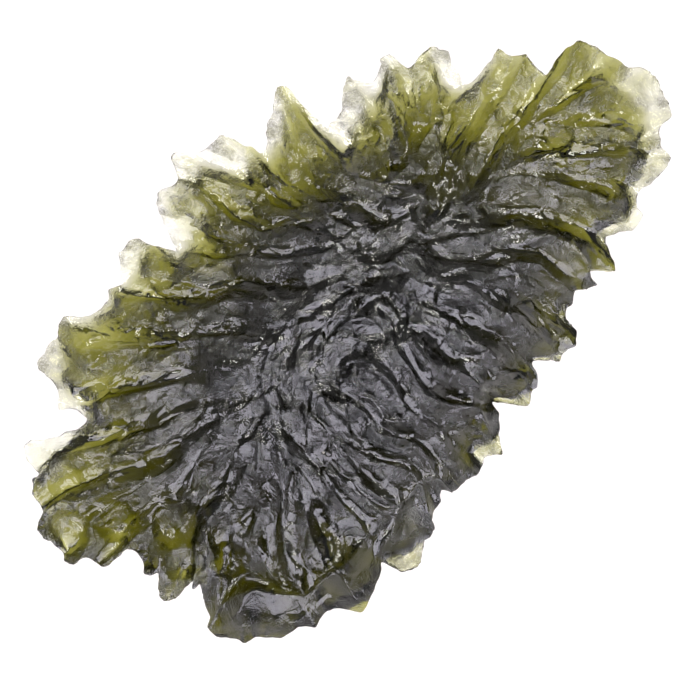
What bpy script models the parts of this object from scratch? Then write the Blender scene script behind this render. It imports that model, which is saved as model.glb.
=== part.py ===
"""Moldavite: one natural piece of olive-green glass, a flat lens with ridges that radiate to a jagged rim.

The stone lies on its belly. X runs along its length, Y across it, Z up, and the origin is under the middle
of its box. Every list of places is in millimetres, and the finished mesh is in metres.
"""
import math

import bmesh
import bpy
import numpy as np
from mathutils import Vector, noise
from mathutils.geometry import delaunay_2d_cdt

MM = 0.001

# Driving dimensions in millimetres
THICKNESS = 8.3            # greatest depth of glass, under the middle
TOP_SHARE = 0.57           # how much of that depth is above the rim
RIM_HEIGHT = 3.25          # middle height of the rim above the resting face
RIM_WAVE = 0.45            # how far the rim rises and falls along the stone
RIM_GLASS = 3.3            # depth of glass that the outer lobes tend to
CENTRE = (-1.2, -1.4)      # thickest place
BODY_REACH = (14.0, 9.6)   # how far the thick middle reaches along and across
REST_REACH = (5.4, 3.2)    # half length and half width of the resting face
CHANNEL_CUT = 0.56         # share of the top that a channel takes away near the rim
MESH_STEP = 0.48           # side of a face

# The rim seen from above, clockwise from the left tip
RIM = [
    (-17.7, 2.25), (-17.6, 2.6), (-17.35, 2.85), (-16.9, 3.05), (-16.75, 3.6), (-16.65, 4.05), (-16.2, 4.5),
    (-15.85, 4.5), (-15.75, 5.3), (-15.45, 5.85), (-14.9, 5.88), (-14.55, 5.45), (-14.0, 5.15), (-13.45, 5.0),
    (-13.0, 4.75), (-12.4, 4.75), (-12.45, 5.25), (-12.65, 5.65), (-13.0, 6.0), (-12.6, 6.45), (-12.4, 6.8),
    (-12.42, 7.4), (-12.5, 8.0), (-12.3, 8.35), (-11.8, 8.45), (-11.4, 8.6), (-10.8, 8.62), (-10.35, 8.95),
    (-10.0, 9.08), (-9.65, 8.7), (-9.2, 8.3), (-8.7, 8.12), (-8.2, 8.12), (-7.85, 8.22), (-7.6, 8.53),
    (-7.2, 8.35), (-6.85, 8.3), (-6.5, 8.85), (-6.2, 9.15), (-6.0, 9.4), (-5.6, 9.38), (-5.25, 9.45),
    (-4.95, 9.2), (-4.75, 8.75), (-4.35, 8.1), (-4.0, 7.65), (-3.8, 8.2), (-3.6, 8.85), (-3.35, 9.6),
    (-3.15, 9.88), (-2.9, 9.98), (-2.65, 10.15), (-2.2, 10.02), (-1.7, 9.93), (-1.45, 10.25), (-1.25, 10.75),
    (-0.95, 10.93), (-0.6, 10.65), (-0.3, 10.42), (0.0, 10.2), (0.5, 10.12), (1.2, 10.08), (1.45, 9.6),
    (1.65, 9.1), (1.9, 8.75), (2.0, 8.25), (2.3, 8.2), (2.6, 8.42), (2.95, 8.8), (3.25, 9.05), (3.7, 9.2),
    (4.1, 9.58), (4.5, 9.85), (4.75, 9.98), (5.02, 9.65), (5.0, 8.9), (4.95, 7.8), (5.0, 6.85), (5.35, 6.95),
    (5.55, 6.85), (6.0, 6.98), (6.5, 7.4), (7.0, 7.75), (7.4, 8.0), (7.47, 7.7), (7.75, 7.3), (8.05, 7.03),
    (8.45, 7.1), (8.95, 7.3), (9.12, 7.55), (9.55, 7.42), (9.62, 6.9), (9.75, 6.42), (10.1, 6.33),
    (10.6, 6.43), (11.35, 6.32), (11.45, 6.0), (11.7, 5.65), (11.5, 5.2), (11.4, 4.7), (11.15, 4.15),
    (11.3, 3.9), (11.7, 3.86), (12.2, 3.9), (12.8, 3.96), (13.4, 4.05), (13.55, 3.6), (13.9, 3.25),
    (14.1, 3.0), (14.0, 2.5), (14.03, 2.05), (14.1, 1.68), (14.6, 1.75), (15.0, 1.87), (15.6, 1.95),
    (15.85, 1.83), (16.15, 1.83), (16.38, 1.55), (16.75, 0.9), (16.85, 0.4), (17.05, -0.05), (17.15, -0.45),
    (17.35, -0.8), (17.75, -1.0), (17.95, -1.5), (17.88, -2.1), (17.7, -2.7), (17.55, -3.15), (17.35, -3.45),
    (17.15, -3.75), (16.65, -3.7), (16.2, -3.85), (15.95, -4.15), (15.7, -4.45), (15.66, -5.1),
    (15.35, -5.28), (14.7, -5.33), (14.1, -5.38), (13.75, -5.22), (13.2, -5.4), (12.95, -5.75), (12.9, -6.1),
    (12.5, -6.25), (12.1, -6.32), (11.6, -5.97), (11.05, -5.68), (10.85, -5.9), (10.6, -6.45), (10.42, -6.95),
    (10.22, -7.2), (9.85, -6.8), (9.4, -6.38), (9.25, -6.6), (9.15, -7.05), (8.7, -6.85), (8.3, -6.58),
    (8.05, -6.62), (7.75, -6.9), (7.4, -6.88), (7.1, -7.25), (7.0, -7.95), (6.7, -8.25), (6.5, -8.4),
    (6.1, -8.28), (5.7, -8.28), (5.45, -8.45), (5.1, -8.1), (4.55, -7.6), (4.35, -7.95), (4.1, -8.35),
    (3.85, -8.6), (3.6, -8.55), (3.25, -8.8), (2.95, -8.88), (2.6, -8.5), (2.2, -8.05), (1.85, -7.65),
    (1.75, -8.05), (1.65, -8.35), (1.2, -8.85), (1.0, -8.98), (0.8, -9.35), (0.5, -9.73), (0.15, -9.45),
    (-0.25, -9.3), (-0.55, -9.5), (-0.95, -9.62), (-1.6, -9.48), (-2.1, -9.45), (-2.4, -9.35), (-2.7, -8.98),
    (-3.1, -9.38), (-3.7, -9.55), (-4.0, -9.75), (-4.12, -10.08), (-4.5, -10.2), (-4.9, -10.25),
    (-5.3, -10.5), (-5.8, -10.8), (-6.3, -10.68), (-6.65, -10.45), (-6.8, -9.95), (-7.0, -9.48),
    (-7.3, -9.75), (-8.0, -10.07), (-8.7, -10.33), (-9.15, -10.45), (-9.4, -10.25), (-9.7, -9.8),
    (-10.0, -9.5), (-10.4, -9.33), (-10.85, -9.37), (-11.25, -9.53), (-11.5, -9.25), (-11.85, -8.95),
    (-12.4, -8.87), (-12.8, -8.78), (-13.2, -8.4), (-13.7, -8.0), (-14.2, -7.82), (-14.35, -7.5),
    (-14.65, -7.15), (-15.0, -6.75), (-15.0, -6.15), (-14.55, -5.85), (-14.4, -5.4), (-14.1, -4.85),
    (-13.8, -4.4), (-14.15, -4.33), (-13.85, -4.05), (-14.4, -4.05), (-14.95, -4.12), (-15.4, -4.05),
    (-15.62, -3.85), (-15.55, -3.4), (-15.1, -3.05), (-14.75, -2.72), (-15.3, -2.3), (-15.1, -1.95),
    (-14.95, -1.5), (-15.0, -1.15), (-15.2, -0.95), (-15.8, -0.88), (-16.4, -0.82), (-16.6, -0.65),
    (-16.85, 0.12), (-17.35, 0.28), (-17.7, 0.7), (-17.55, 1.1), (-17.5, 1.75),
]

# Main crests of the top, each from the rim inwards; those along the upper side go left to right
UPPER_CRESTS = [
    [(-17.6, 2.6), (-17.0, 2.95), (-16.2, 2.95), (-15.3, 2.75), (-14.5, 2.3), (-13.6, 1.85), (-12.8, 1.25),
     (-11.8, 0.6), (-10.4, 0.4), (-8.4, 0.45), (-7.2, 0.25), (-6.2, 0.05), (-5.4, 0.3)],
    [(-16.2, 4.5), (-15.2, 4.5), (-14.4, 4.3), (-13.9, 4.0), (-13.3, 3.65), (-12.6, 3.25), (-11.8, 2.85),
     (-11.0, 2.5), (-10.3, 2.15), (-9.2, 1.9), (-8.2, 1.5), (-7.3, 1.0)],
    [(-12.4, 4.75), (-11.6, 4.85), (-11.0, 4.75), (-10.5, 4.35), (-10.0, 4.05), (-9.4, 3.72), (-8.9, 3.45),
     (-8.3, 3.1), (-7.8, 2.7), (-7.3, 2.2), (-6.4, 1.7), (-5.6, 1.2)],
    [(-10.0, 9.08), (-10.2, 8.4), (-10.5, 7.6), (-10.55, 7.05), (-10.1, 6.75), (-9.7, 6.5), (-9.2, 6.1),
     (-8.7, 5.8), (-8.2, 5.35), (-7.9, 4.85), (-7.4, 4.5), (-6.9, 4.3), (-6.2, 4.0), (-5.5, 3.45),
     (-4.9, 2.9), (-4.4, 2.1)],
    [(-7.6, 8.53), (-7.7, 7.9), (-7.4, 7.3), (-6.9, 6.95), (-6.5, 6.5), (-6.2, 5.9), (-5.85, 5.3),
     (-5.3, 4.95), (-4.8, 4.6), (-4.2, 4.35), (-3.7, 4.15), (-3.2, 3.7), (-2.7, 3.1), (-2.2, 2.4)],
    [(-4.95, 9.2), (-4.8, 8.6), (-4.4, 7.9), (-3.95, 7.45), (-3.45, 6.8), (-3.05, 6.1), (-2.6, 5.7),
     (-2.0, 5.25), (-1.5, 4.75), (-1.1, 4.2), (-0.5, 3.6), (0.2, 3.1), (1.0, 2.6)],
    [(-1.7, 9.93), (-1.45, 9.5), (-1.25, 8.9), (-1.2, 8.0), (-1.2, 7.2), (-1.1, 6.5), (-0.8, 5.9),
     (-0.5, 5.35), (0.0, 5.05), (0.6, 4.6), (1.0, 4.0), (1.3, 3.3)],
    [(-0.95, 10.93), (-0.6, 10.0), (-0.35, 9.3), (0.0, 8.7), (0.25, 8.1), (0.35, 7.5), (0.7, 7.0),
     (0.8, 6.5), (0.7, 5.9), (1.1, 5.3), (1.7, 4.9)],
    [(1.2, 10.08), (1.5, 9.5), (1.65, 8.9), (1.6, 8.2), (1.5, 7.3), (1.7, 6.6), (1.95, 5.9), (2.2, 5.1),
     (2.3, 4.3), (2.2, 3.5), (2.5, 2.7)],
    [(4.75, 9.98), (4.6, 9.2), (4.4, 8.4), (4.25, 7.4), (4.2, 6.4), (4.1, 5.4), (4.1, 4.7), (4.4, 4.1),
     (4.8, 3.45), (5.2, 2.9), (5.5, 2.2), (5.9, 1.6)],
    [(7.4, 8.0), (7.3, 7.3), (7.2, 6.7), (6.9, 6.2), (6.7, 5.6), (6.8, 5.1), (6.4, 4.7), (5.7, 4.6),
     (5.0, 4.3)],
    [(9.12, 7.55), (9.0, 6.9), (8.5, 6.5), (8.1, 6.2), (8.05, 5.6), (7.7, 5.0), (7.45, 4.4), (7.2, 3.8),
     (6.6, 3.1)],
    [(11.35, 6.32), (10.6, 5.9), (10.35, 5.3), (10.1, 4.7), (9.6, 4.2), (9.2, 3.55)],
    [(13.4, 4.05), (12.9, 3.55), (12.1, 3.45), (11.2, 3.6), (10.2, 3.55), (9.2, 3.5), (8.5, 3.5),
     (7.8, 3.35), (7.1, 3.1), (6.3, 2.95), (5.5, 3.0)],
    [(14.1, 3.0), (13.3, 2.65), (12.3, 2.3), (11.4, 2.1), (10.6, 1.95), (9.8, 1.65), (9.0, 1.45),
     (8.1, 1.05), (7.4, 0.65), (6.6, 0.3), (5.6, 0.1), (4.6, 0.15)],
    [(16.15, 1.83), (15.3, 1.3), (14.6, 1.1), (13.6, 1.0), (12.8, 0.9), (12.1, 0.6), (11.0, 0.6),
     (10.2, 0.35), (9.3, 0.0), (8.4, -0.25), (7.5, -0.3)],
    [(17.15, -0.45), (16.5, -0.45), (15.8, -0.5), (15.1, -0.3), (14.2, -0.1), (13.2, 0.0), (12.5, 0.3)],
]

# Those along the lower side, right to left
LOWER_CRESTS = [
    [(17.95, -1.5), (17.0, -1.6), (16.25, -1.5), (15.9, -1.0), (15.3, -0.75), (14.6, -0.6)],
    [(15.95, -4.15), (15.3, -3.5), (14.85, -2.85), (14.5, -2.3), (14.15, -1.85), (13.7, -1.45),
     (13.3, -1.05), (12.9, -0.5), (12.6, 0.0)],
    [(15.66, -5.1), (14.9, -4.4), (14.2, -3.75), (13.3, -3.0), (12.7, -2.5), (12.1, -1.95), (11.5, -1.4),
     (10.9, -0.95), (10.2, -0.5), (9.4, -0.2)],
    [(12.1, -6.32), (12.2, -5.5), (12.2, -4.8), (11.8, -3.9), (11.3, -3.0), (10.8, -2.2), (10.3, -1.4),
     (9.8, -0.8), (9.1, -0.4), (8.4, -0.25)],
    [(9.15, -7.05), (9.4, -6.2), (9.5, -5.4), (9.35, -4.6), (9.0, -3.9), (8.6, -3.25), (8.1, -2.65),
     (7.5, -2.15), (6.9, -1.75), (6.3, -1.4), (5.8, -1.0), (5.2, -0.6), (4.5, -0.2)],
    [(8.05, -6.62), (7.9, -5.8), (7.7, -5.0), (7.7, -4.5), (7.3, -4.0), (6.8, -3.55), (6.2, -3.3),
     (5.6, -3.05), (5.2, -2.6), (4.8, -2.1), (4.4, -1.5), (4.2, -0.9), (4.1, -0.3)],
    [(5.45, -8.45), (5.5, -7.6), (5.35, -6.9), (5.2, -6.2), (5.0, -5.4), (4.85, -4.7), (4.7, -4.0),
     (4.6, -3.2), (4.3, -2.5), (3.95, -1.9), (3.6, -1.4), (3.45, -0.8), (3.7, -0.2)],
    [(2.95, -8.88), (3.0, -7.9), (3.2, -6.8), (3.3, -5.8), (3.1, -5.0), (3.0, -4.3), (2.95, -3.6),
     (2.5, -2.9), (2.2, -2.3), (2.5, -1.4)],
    [(0.5, -9.73), (0.7, -8.8), (1.0, -7.9), (1.2, -7.3), (0.95, -7.0), (0.5, -6.5), (0.2, -6.05),
     (-0.1, -5.5), (-0.25, -5.0), (-0.1, -4.3), (0.1, -3.6), (0.15, -2.9), (0.4, -2.3), (0.85, -1.6),
     (0.65, -1.0)],
    [(-0.95, -9.62), (-1.1, -8.6), (-1.15, -7.6), (-1.1, -6.8), (-1.2, -6.0), (-1.25, -5.2), (-1.2, -4.6),
     (-1.0, -3.8), (-1.0, -3.1), (-1.3, -2.4), (-1.8, -2.0)],
    [(-2.4, -9.35), (-2.4, -8.3), (-2.2, -7.4), (-2.05, -6.7), (-2.3, -6.0), (-2.75, -5.4), (-3.0, -4.8),
     (-2.8, -4.2), (-2.8, -3.7), (-3.0, -3.1), (-3.4, -2.6), (-3.6, -1.9), (-3.4, -1.2)],
    [(-4.12, -10.08), (-3.7, -9.0), (-3.1, -7.9), (-3.3, -6.9), (-3.7, -6.2), (-4.05, -5.5), (-4.2, -4.9),
     (-4.35, -4.2), (-4.25, -3.4), (-4.05, -2.6), (-3.8, -1.9)],
    [(-4.7, -7.8), (-4.95, -7.1), (-5.05, -6.3), (-4.95, -5.6), (-4.85, -4.9), (-4.8, -4.2), (-4.75, -3.5),
     (-4.55, -2.9)],
    [(-5.3, -7.7), (-5.4, -6.9), (-5.5, -6.3), (-5.6, -5.6), (-5.6, -4.9), (-5.5, -4.2), (-5.25, -3.6),
     (-4.95, -2.9), (-4.65, -2.3), (-4.2, -1.8)],
    [(-6.6, -8.0), (-6.4, -7.0), (-6.42, -6.2), (-6.3, -5.4), (-6.15, -4.8), (-6.1, -4.2), (-6.3, -3.5),
     (-6.5, -2.9), (-6.4, -2.3), (-6.2, -1.6)],
    [(-9.0, -7.9), (-8.75, -7.1), (-8.4, -6.2), (-8.1, -5.6), (-7.7, -5.0), (-7.2, -4.4), (-6.9, -3.8),
     (-6.75, -3.2)],
    [(-10.5, -8.0), (-10.35, -7.3), (-10.2, -6.6), (-9.8, -6.0), (-9.3, -5.4), (-8.9, -4.9), (-8.4, -4.35),
     (-8.0, -3.9), (-7.5, -3.3), (-7.0, -2.8), (-6.6, -2.2), (-6.2, -1.6), (-5.8, -1.0), (-5.5, -0.5),
     (-5.3, 0.2), (-4.7, 0.7), (-4.1, 1.05)],
    [(-11.1, -7.3), (-11.05, -6.3), (-10.8, -5.3), (-10.4, -4.5), (-9.9, -4.1), (-9.2, -3.8), (-8.8, -3.2),
     (-8.3, -2.6), (-7.7, -2.1), (-7.1, -1.5)],
    [(-15.0, -6.3), (-14.0, -5.85), (-13.3, -5.1), (-12.8, -4.5), (-12.35, -3.8), (-12.1, -3.2),
     (-11.6, -2.6), (-10.9, -2.45), (-9.8, -2.5), (-9.0, -2.3), (-8.2, -1.9)],
    [(-13.85, -4.05), (-13.3, -3.7), (-12.9, -3.25), (-12.4, -2.8), (-11.7, -2.6)],
    [(-15.3, -2.3), (-14.7, -2.5), (-14.2, -2.2), (-13.9, -1.8), (-13.8, -1.3), (-13.5, -0.9),
     (-12.7, -0.8), (-11.8, -0.95), (-11.0, -0.8), (-10.4, -0.5), (-9.5, -0.2), (-8.5, -0.1)],
    [(-16.6, -0.65), (-15.5, -0.8), (-14.4, -0.75), (-13.5, -0.9)],
    [(-17.35, 0.28), (-16.6, 0.35), (-16.0, 0.6), (-15.45, 1.2), (-14.6, 1.1), (-13.7, 1.0), (-13.0, 0.75),
     (-12.0, 0.65)],
]

# The broken edge of the thick block at the lower left, and the crests of the middle
BLOCK_EDGE = [
    (-14.9, -6.2), (-13.9, -5.85), (-12.7, -5.8), (-11.9, -6.2), (-11.4, -7.0), (-10.8, -7.75), (-10.2, -8.15),
    (-9.4, -7.95), (-8.7, -8.1), (-7.8, -8.2), (-6.9, -8.1), (-6.2, -7.9), (-5.4, -7.8), (-4.7, -7.9),
    (-4.0, -8.1), (-3.1, -7.9), (-2.4, -8.2),
]
MIDDLE_CRESTS = [
    BLOCK_EDGE,
    [(-11.6, -8.8), (-10.7, -8.85), (-9.8, -8.95), (-8.9, -8.85), (-8.1, -9.15), (-7.2, -9.1), (-6.3, -8.8),
     (-5.6, -8.7), (-5.0, -8.3), (-4.4, -8.15)],
    [(-3.0, 3.5), (-2.4, 2.6), (-1.3, 1.95), (-0.4, 1.55), (0.25, 1.3), (1.0, 0.95), (1.6, 0.7), (2.4, 0.35),
     (3.2, 0.2), (3.9, -0.2)],
    [(-4.1, 1.05), (-3.2, 1.1), (-2.3, 1.1), (-1.2, 0.75), (0.0, 0.55), (1.0, 0.5)],
    [(-3.6, -0.3), (-2.9, 0.4), (-2.2, 0.75)],
    [(-3.4, -1.2), (-2.6, -0.8), (-1.7, -0.7), (-1.0, -0.3), (-0.3, -0.4), (0.65, -1.0)],
    [(1.0, 2.6), (1.9, 2.5), (2.8, 2.4), (3.1, 1.6), (3.6, 1.1), (4.6, 1.15), (5.9, 1.3)],
    [(2.1, 6.3), (2.6, 6.95), (3.1, 7.4), (3.7, 8.1), (4.1, 9.0)],
    [(2.1, -6.7), (2.2, -6.1), (2.6, -5.75), (3.3, -5.7)],
    [(1.85, -7.65), (1.85, -6.8), (1.8, -6.0), (1.5, -5.2), (1.2, -4.5), (1.1, -3.7), (1.4, -3.0)],
]

# Lesser crests, which stay inside the channels
LESSER_CRESTS = [
    [(10.22, -7.2), (10.1, -6.3), (9.9, -5.5), (9.7, -4.8)],
    [(6.5, -8.4), (6.5, -7.5), (6.3, -6.6), (5.9, -5.7), (5.4, -5.2), (4.95, -4.9)],
    [(-3.1, -4.9), (-3.15, -5.8), (-3.3, -6.6)],
    [(-9.15, -10.45), (-9.2, -9.6), (-8.95, -8.9)],
    [(-5.8, -10.8), (-5.9, -9.9), (-6.3, -8.9)],
    [(-11.25, -9.53), (-10.9, -8.9), (-10.4, -8.3)],
    [(-2.65, 10.15), (-2.8, 9.3), (-3.0, 8.5), (-3.2, 7.7), (-3.4, 7.0)],
    [(-6.2, 9.15), (-6.0, 8.3), (-6.1, 7.9), (-5.4, 7.85), (-4.8, 7.9)],
    [(-12.3, 8.35), (-11.5, 7.6), (-11.8, 6.9), (-12.4, 6.75)],
    [(-11.8, 6.3), (-11.1, 6.3), (-10.8, 6.65), (-10.5, 7.0)],
    [(12.9, -6.0), (12.5, -5.4), (12.3, -4.8)],
    [(16.2, -3.85), (16.1, -3.0), (16.15, -2.3), (16.25, -1.6)],
    [(-4.7, -6.2), (-4.5, -5.5), (-4.4, -4.9)],
    [(-7.2, -7.6), (-7.0, -6.6), (-6.9, -5.6), (-6.8, -4.8)],
]

# Round hollows: centre, radius and depth
HOLLOWS = [
    (-16.75, 1.55, 1.15, 0.75), (-14.6, 0.35, 1.0, 0.6), (-12.5, -1.75, 1.35, 0.8), (-13.6, -3.2, 1.0, 0.5),
    (-12.0, -4.5, 0.9, 0.45), (-2.2, 8.1, 0.95, 0.45), (-15.1, 3.4, 0.9, 0.4), (-11.2, 5.6, 0.9, 0.4),
    (12.6, -0.7, 0.8, 0.3), (3.4, -7.1, 0.8, 0.25), (0.7, -7.9, 0.6, 0.25),
]

# Thin, nearly clear plates at the rim, each a patch of the plan
PLATES = [
    [(-16.0, 4.5), (-16.2, 6.2), (-14.2, 6.2), (-12.2, 5.0), (-12.4, 4.6), (-14.5, 4.55)],
    [(-13.3, 6.1), (-12.9, 8.9), (-10.9, 8.9), (-11.3, 7.7), (-12.0, 7.0), (-12.2, 5.4), (-12.3, 4.9)],
    [(-10.4, 9.3), (-8.8, 9.0), (-7.2, 8.7), (-7.9, 8.0), (-9.2, 8.1), (-10.1, 8.5)],
    [(-6.9, 8.2), (-6.6, 9.8), (-4.6, 9.7), (-5.2, 8.7), (-5.9, 8.2)],
    [(-4.2, 7.4), (-3.9, 10.4), (-1.9, 10.3), (-2.8, 9.6), (-3.1, 8.6), (-3.5, 7.4)],
    [(-1.6, 9.9), (-1.5, 11.2), (0.0, 11.2), (1.5, 10.4), (1.4, 8.6), (0.9, 8.1), (0.35, 8.6), (-0.4, 9.6),
     (-1.0, 9.5)],
    [(2.4, 8.2), (3.0, 9.5), (4.6, 10.4), (4.5, 9.2), (3.8, 8.5), (3.1, 8.1)],
    [(5.0, 5.6), (5.0, 7.4), (7.5, 8.4), (8.4, 7.6), (9.7, 7.8), (9.6, 7.1), (8.9, 6.9), (8.2, 6.5),
     (7.4, 6.7), (6.7, 6.2), (5.7, 6.0)],
    [(10.9, 6.1), (11.6, 6.6), (12.0, 5.5), (11.3, 3.9), (10.9, 3.9), (10.4, 4.9)],
    [(11.2, 4.2), (13.2, 4.3), (13.1, 3.85), (12.0, 3.7), (11.3, 3.7)],
    [(16.3, -0.9), (17.6, -0.7), (18.3, -1.5), (17.4, -4.1), (15.9, -4.4), (15.2, -3.5), (16.5, -2.9)],
    [(13.2, -5.7), (16.0, -5.6), (16.0, -4.3), (15.1, -4.25), (14.3, -4.6), (13.4, -4.9)],
    [(11.0, -5.4), (12.1, -6.7), (13.2, -6.4), (13.1, -5.6), (12.3, -5.7), (11.6, -5.3)],
    [(-0.6, -8.7), (-0.6, -9.8), (0.5, -10.0), (1.0, -9.0), (0.4, -8.8), (0.0, -8.4)],
    [(-7.0, -9.4), (-6.8, -10.8), (-4.7, -10.8), (-4.7, -10.2), (-5.9, -9.95)],
    [(-10.3, -9.7), (-9.4, -10.8), (-7.2, -10.3), (-7.1, -9.6), (-8.4, -9.85), (-9.4, -9.7)],
    [(4.6, -7.4), (5.4, -8.8), (5.6, -8.1), (5.1, -7.6)], [(1.9, -7.5), (3.0, -9.1), (3.0, -8.3), (2.3, -7.6)],
]
PLATE_SHARE = 0.34         # depth of glass left in a plate
PLATE_STEP = 0.28          # width of the fall from the lobe to the plate

# Long tips whose ridges are also on the underside
UNDER_TIPS = [
    (-17.6, 2.6), (-15.2, 5.8), (-12.5, 8.1), (-10.0, 9.08), (-7.6, 8.53), (-5.5, 9.4), (-2.65, 10.15),
    (-0.95, 10.93), (1.2, 10.08), (4.75, 9.98), (7.4, 8.0), (9.5, 7.42), (11.35, 6.32), (13.4, 4.05),
    (16.15, 1.83), (17.95, -1.5), (17.15, -3.75), (15.5, -5.2), (12.5, -6.25), (10.22, -7.2), (9.15, -7.05),
    (6.5, -8.4), (5.45, -8.45), (2.95, -8.88), (0.5, -9.73), (-1.6, -9.48), (-4.5, -10.2), (-5.8, -10.8),
    (-9.15, -10.45), (-11.25, -9.53), (-14.2, -7.82), (-15.0, -6.4), (-15.5, -3.7), (-15.3, -2.3),
    (-16.4, -0.82), (-17.7, 0.7),
]
UNDER_REACH = (0.55, 0.25)  # where a ridge of the underside ends, as a share of its tip's place

LEE = (0.69, 0.73)         # way that the steep side of every crest faces
SKEW = 0.75                # how far the floor of a channel lies towards that steep side
CUP_SIZE = 1.25            # spacing of the shallow cups that cover the channels
CUP_DEPTH = 0.2
CUP_SEED = 11
WAVE_LENGTH = 9.0          # along the rim


def remove_old_objects():
    """Empties the scene that the script starts in."""
    for old in list(bpy.data.objects):
        bpy.data.objects.remove(old)


def smooth_line(points, step, closed=False):
    """A curve through the points with a point about every step."""
    knots = [Vector(point) for point in points]
    count = len(knots)
    line = []
    for i in range(count if closed else count - 1):
        start, end = knots[i], knots[(i + 1) % count]
        before = knots[i - 1] if closed or i else start
        after = knots[(i + 2) % count] if closed or i + 2 < count else end
        pieces = max(1, round((end - start).length / step))
        for k in range(pieces):
            t = k / pieces
            bend = (end - before) * t * (1 - t) ** 2 - (after - start) * t * t * (1 - t)
            line.append(start * (1 + 2 * t) * (1 - t) ** 2 + end * t * t * (3 - 2 * t) + 0.4 * bend)
    if not closed:
        line.append(knots[-1])
    return np.array([tuple(point) for point in line])


def nearest_on_line(points, line):
    """Each point's distance from a line, and the unit way from the line to the point."""
    best = np.full(len(points), np.inf)
    way = np.zeros((len(points), 2))
    for a, b in zip(line[:-1], line[1:]):
        along = b - a
        share = np.clip((points - a) @ along / max(along @ along, 1e-12), 0, 1)
        off = points - (a + share[:, None] * along)
        distance = np.hypot(off[:, 0], off[:, 1])
        nearer = distance < best
        best[nearer] = distance[nearer]
        way[nearer] = off[nearer]
    return best, way / np.maximum(best, 1e-9)[:, None]


def rise(value, low, high):
    """A smooth climb from 0 at low to 1 at high."""
    t = np.clip((value - low) / (high - low), 0, 1)
    return t * t * (3 - 2 * t)


def channel(points, lines):
    """0 on the crests and 1 on the floors between them, and the width there."""
    found = []
    for line in lines:
        distance, way = nearest_on_line(points, line)
        found.append((distance, distance * np.exp(SKEW * (way @ np.array(LEE)))))
    distances = np.array([pair[0] for pair in found])
    skewed = np.array([pair[1] for pair in found])
    order = np.argsort(distances, axis=0)[:2]
    column = np.arange(len(points))
    near, far = distances[order[0], column], distances[order[1], column]
    near_skewed, far_skewed = skewed[order[0], column], skewed[order[1], column]
    share = near_skewed / np.maximum(near_skewed + far_skewed, 1e-9)
    return 4 * share * (1 - share), near + far


def inside(points, corners):
    """Which points lie inside a closed patch."""
    held = np.zeros(len(points), dtype=bool)
    for (ax, ay), (bx, by) in zip(corners, corners[1:] + corners[:1]):
        between = (ay > points[:, 1]) != (by > points[:, 1])
        if ay != by:
            held ^= between & (points[:, 0] < (bx - ax) * (points[:, 1] - ay) / (by - ay) + ax)
    return held


def plate_share(points):
    """Share of the glass that is left where thin plates are."""
    left = np.ones(len(points))
    for corners in PLATES:
        ring = np.array(corners + corners[:1])
        distance, _ = nearest_on_line(points, ring)
        depth = np.where(inside(points, corners), distance, -distance)
        left = np.minimum(left, 1 - (1 - PLATE_SHARE) * rise(depth, -PLATE_STEP / 2, PLATE_STEP / 2))
    return left


def glass_depth(points, rim):
    """Depth of glass under the crests: nothing at the rim and most in the middle."""
    distance, _ = nearest_on_line(points, np.vstack([rim, rim[:1]]))
    x, y = points[:, 0], points[:, 1]
    reach = np.hypot((x - CENTRE[0]) / BODY_REACH[0], (y - CENTRE[1]) / BODY_REACH[1])
    body = RIM_GLASS + (THICKNESS - RIM_GLASS) * (1 - rise(reach, 0.05, 1.05))
    steep = rise(-y, 3.5, 6.5) * rise(9.5 - x, 0, 2) * rise(x + 15.5, 0, 2)
    fade = 1.55 - 0.9 * steep
    return (body + 1.6 * steep) * (1 - np.exp(-distance / fade)), distance


def cups(points, seed, size):
    """Shallow cups that meet in sharp edges, 0 in their middles and 1 at the edges."""
    chance = np.random.RandomState(seed)
    columns = np.arange(-20, 20, size)
    rows = np.arange(-13, 13, size)
    grid = np.stack(np.meshgrid(columns, rows), axis=-1).reshape(-1, 2)
    middles = grid + chance.uniform(-0.45, 0.45, grid.shape) * size
    lift = chance.uniform(0, 0.35, len(grid))
    outward = middles - np.array(CENTRE)
    outward[:, 0] *= 0.45
    outward /= np.maximum(np.hypot(outward[:, 0], outward[:, 1]), 1e-6)[:, None]
    best = np.full(len(points), np.inf)
    for middle, way, raised in zip(middles, outward, lift):
        off = points - middle
        along = off @ way
        across = off @ np.array([-way[1], way[0]])
        best = np.minimum(best, (along / 1.35) ** 2 + (across / 0.8) ** 2 + raised * size * size)
    return np.clip(best / (size * size), 0, 1.2)


def wobble(points, length, seed):
    """Smooth unevenness between about -1 and 1 over the given length."""
    return np.array([noise.noise(Vector((x / length, y / length, seed))) for x, y in points]) * 2


def hollows(points):
    """How deep the round hollows are at each point."""
    depth = np.zeros(len(points))
    for x, y, radius, deep in HOLLOWS:
        off = ((points[:, 0] - x) ** 2 + (points[:, 1] - y) ** 2) / radius ** 2
        depth = np.maximum(depth, deep * np.clip(1 - off ** 1.6, 0, 1))
    return depth


def top_heights(points, rim, step):
    """Height of the top surface above the rim's own height."""
    main = [smooth_line(line, step) for line in UPPER_CRESTS + LOWER_CRESTS + MIDDLE_CRESTS]
    lesser = [smooth_line(line, step) for line in LESSER_CRESTS]
    depth, distance = glass_depth(points, rim)
    crest_top = TOP_SHARE * depth * (1 + 0.06 * wobble(points, 2.2, 3.0))
    floor, width = channel(points, main)
    cut = 0.13 + (CHANNEL_CUT - 0.13) * np.exp(-np.maximum(distance - 1.0, 0) / 3.4)
    carved = floor * np.minimum(cut * crest_top, 0.42 * width)
    small_floor, small_width = channel(points, main + lesser)
    carved += 0.3 * small_floor * np.minimum(0.3 * crest_top, 0.2 * small_width)
    carved += CUP_DEPTH * (1 - cups(points, CUP_SEED, CUP_SIZE)) * rise(distance, 0.2, 2.0)
    carved += hollows(points) * rise(distance, 0.0, 0.8)
    least = 0.16 * crest_top
    return np.maximum(crest_top - carved, least) * plate_share(points)


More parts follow.
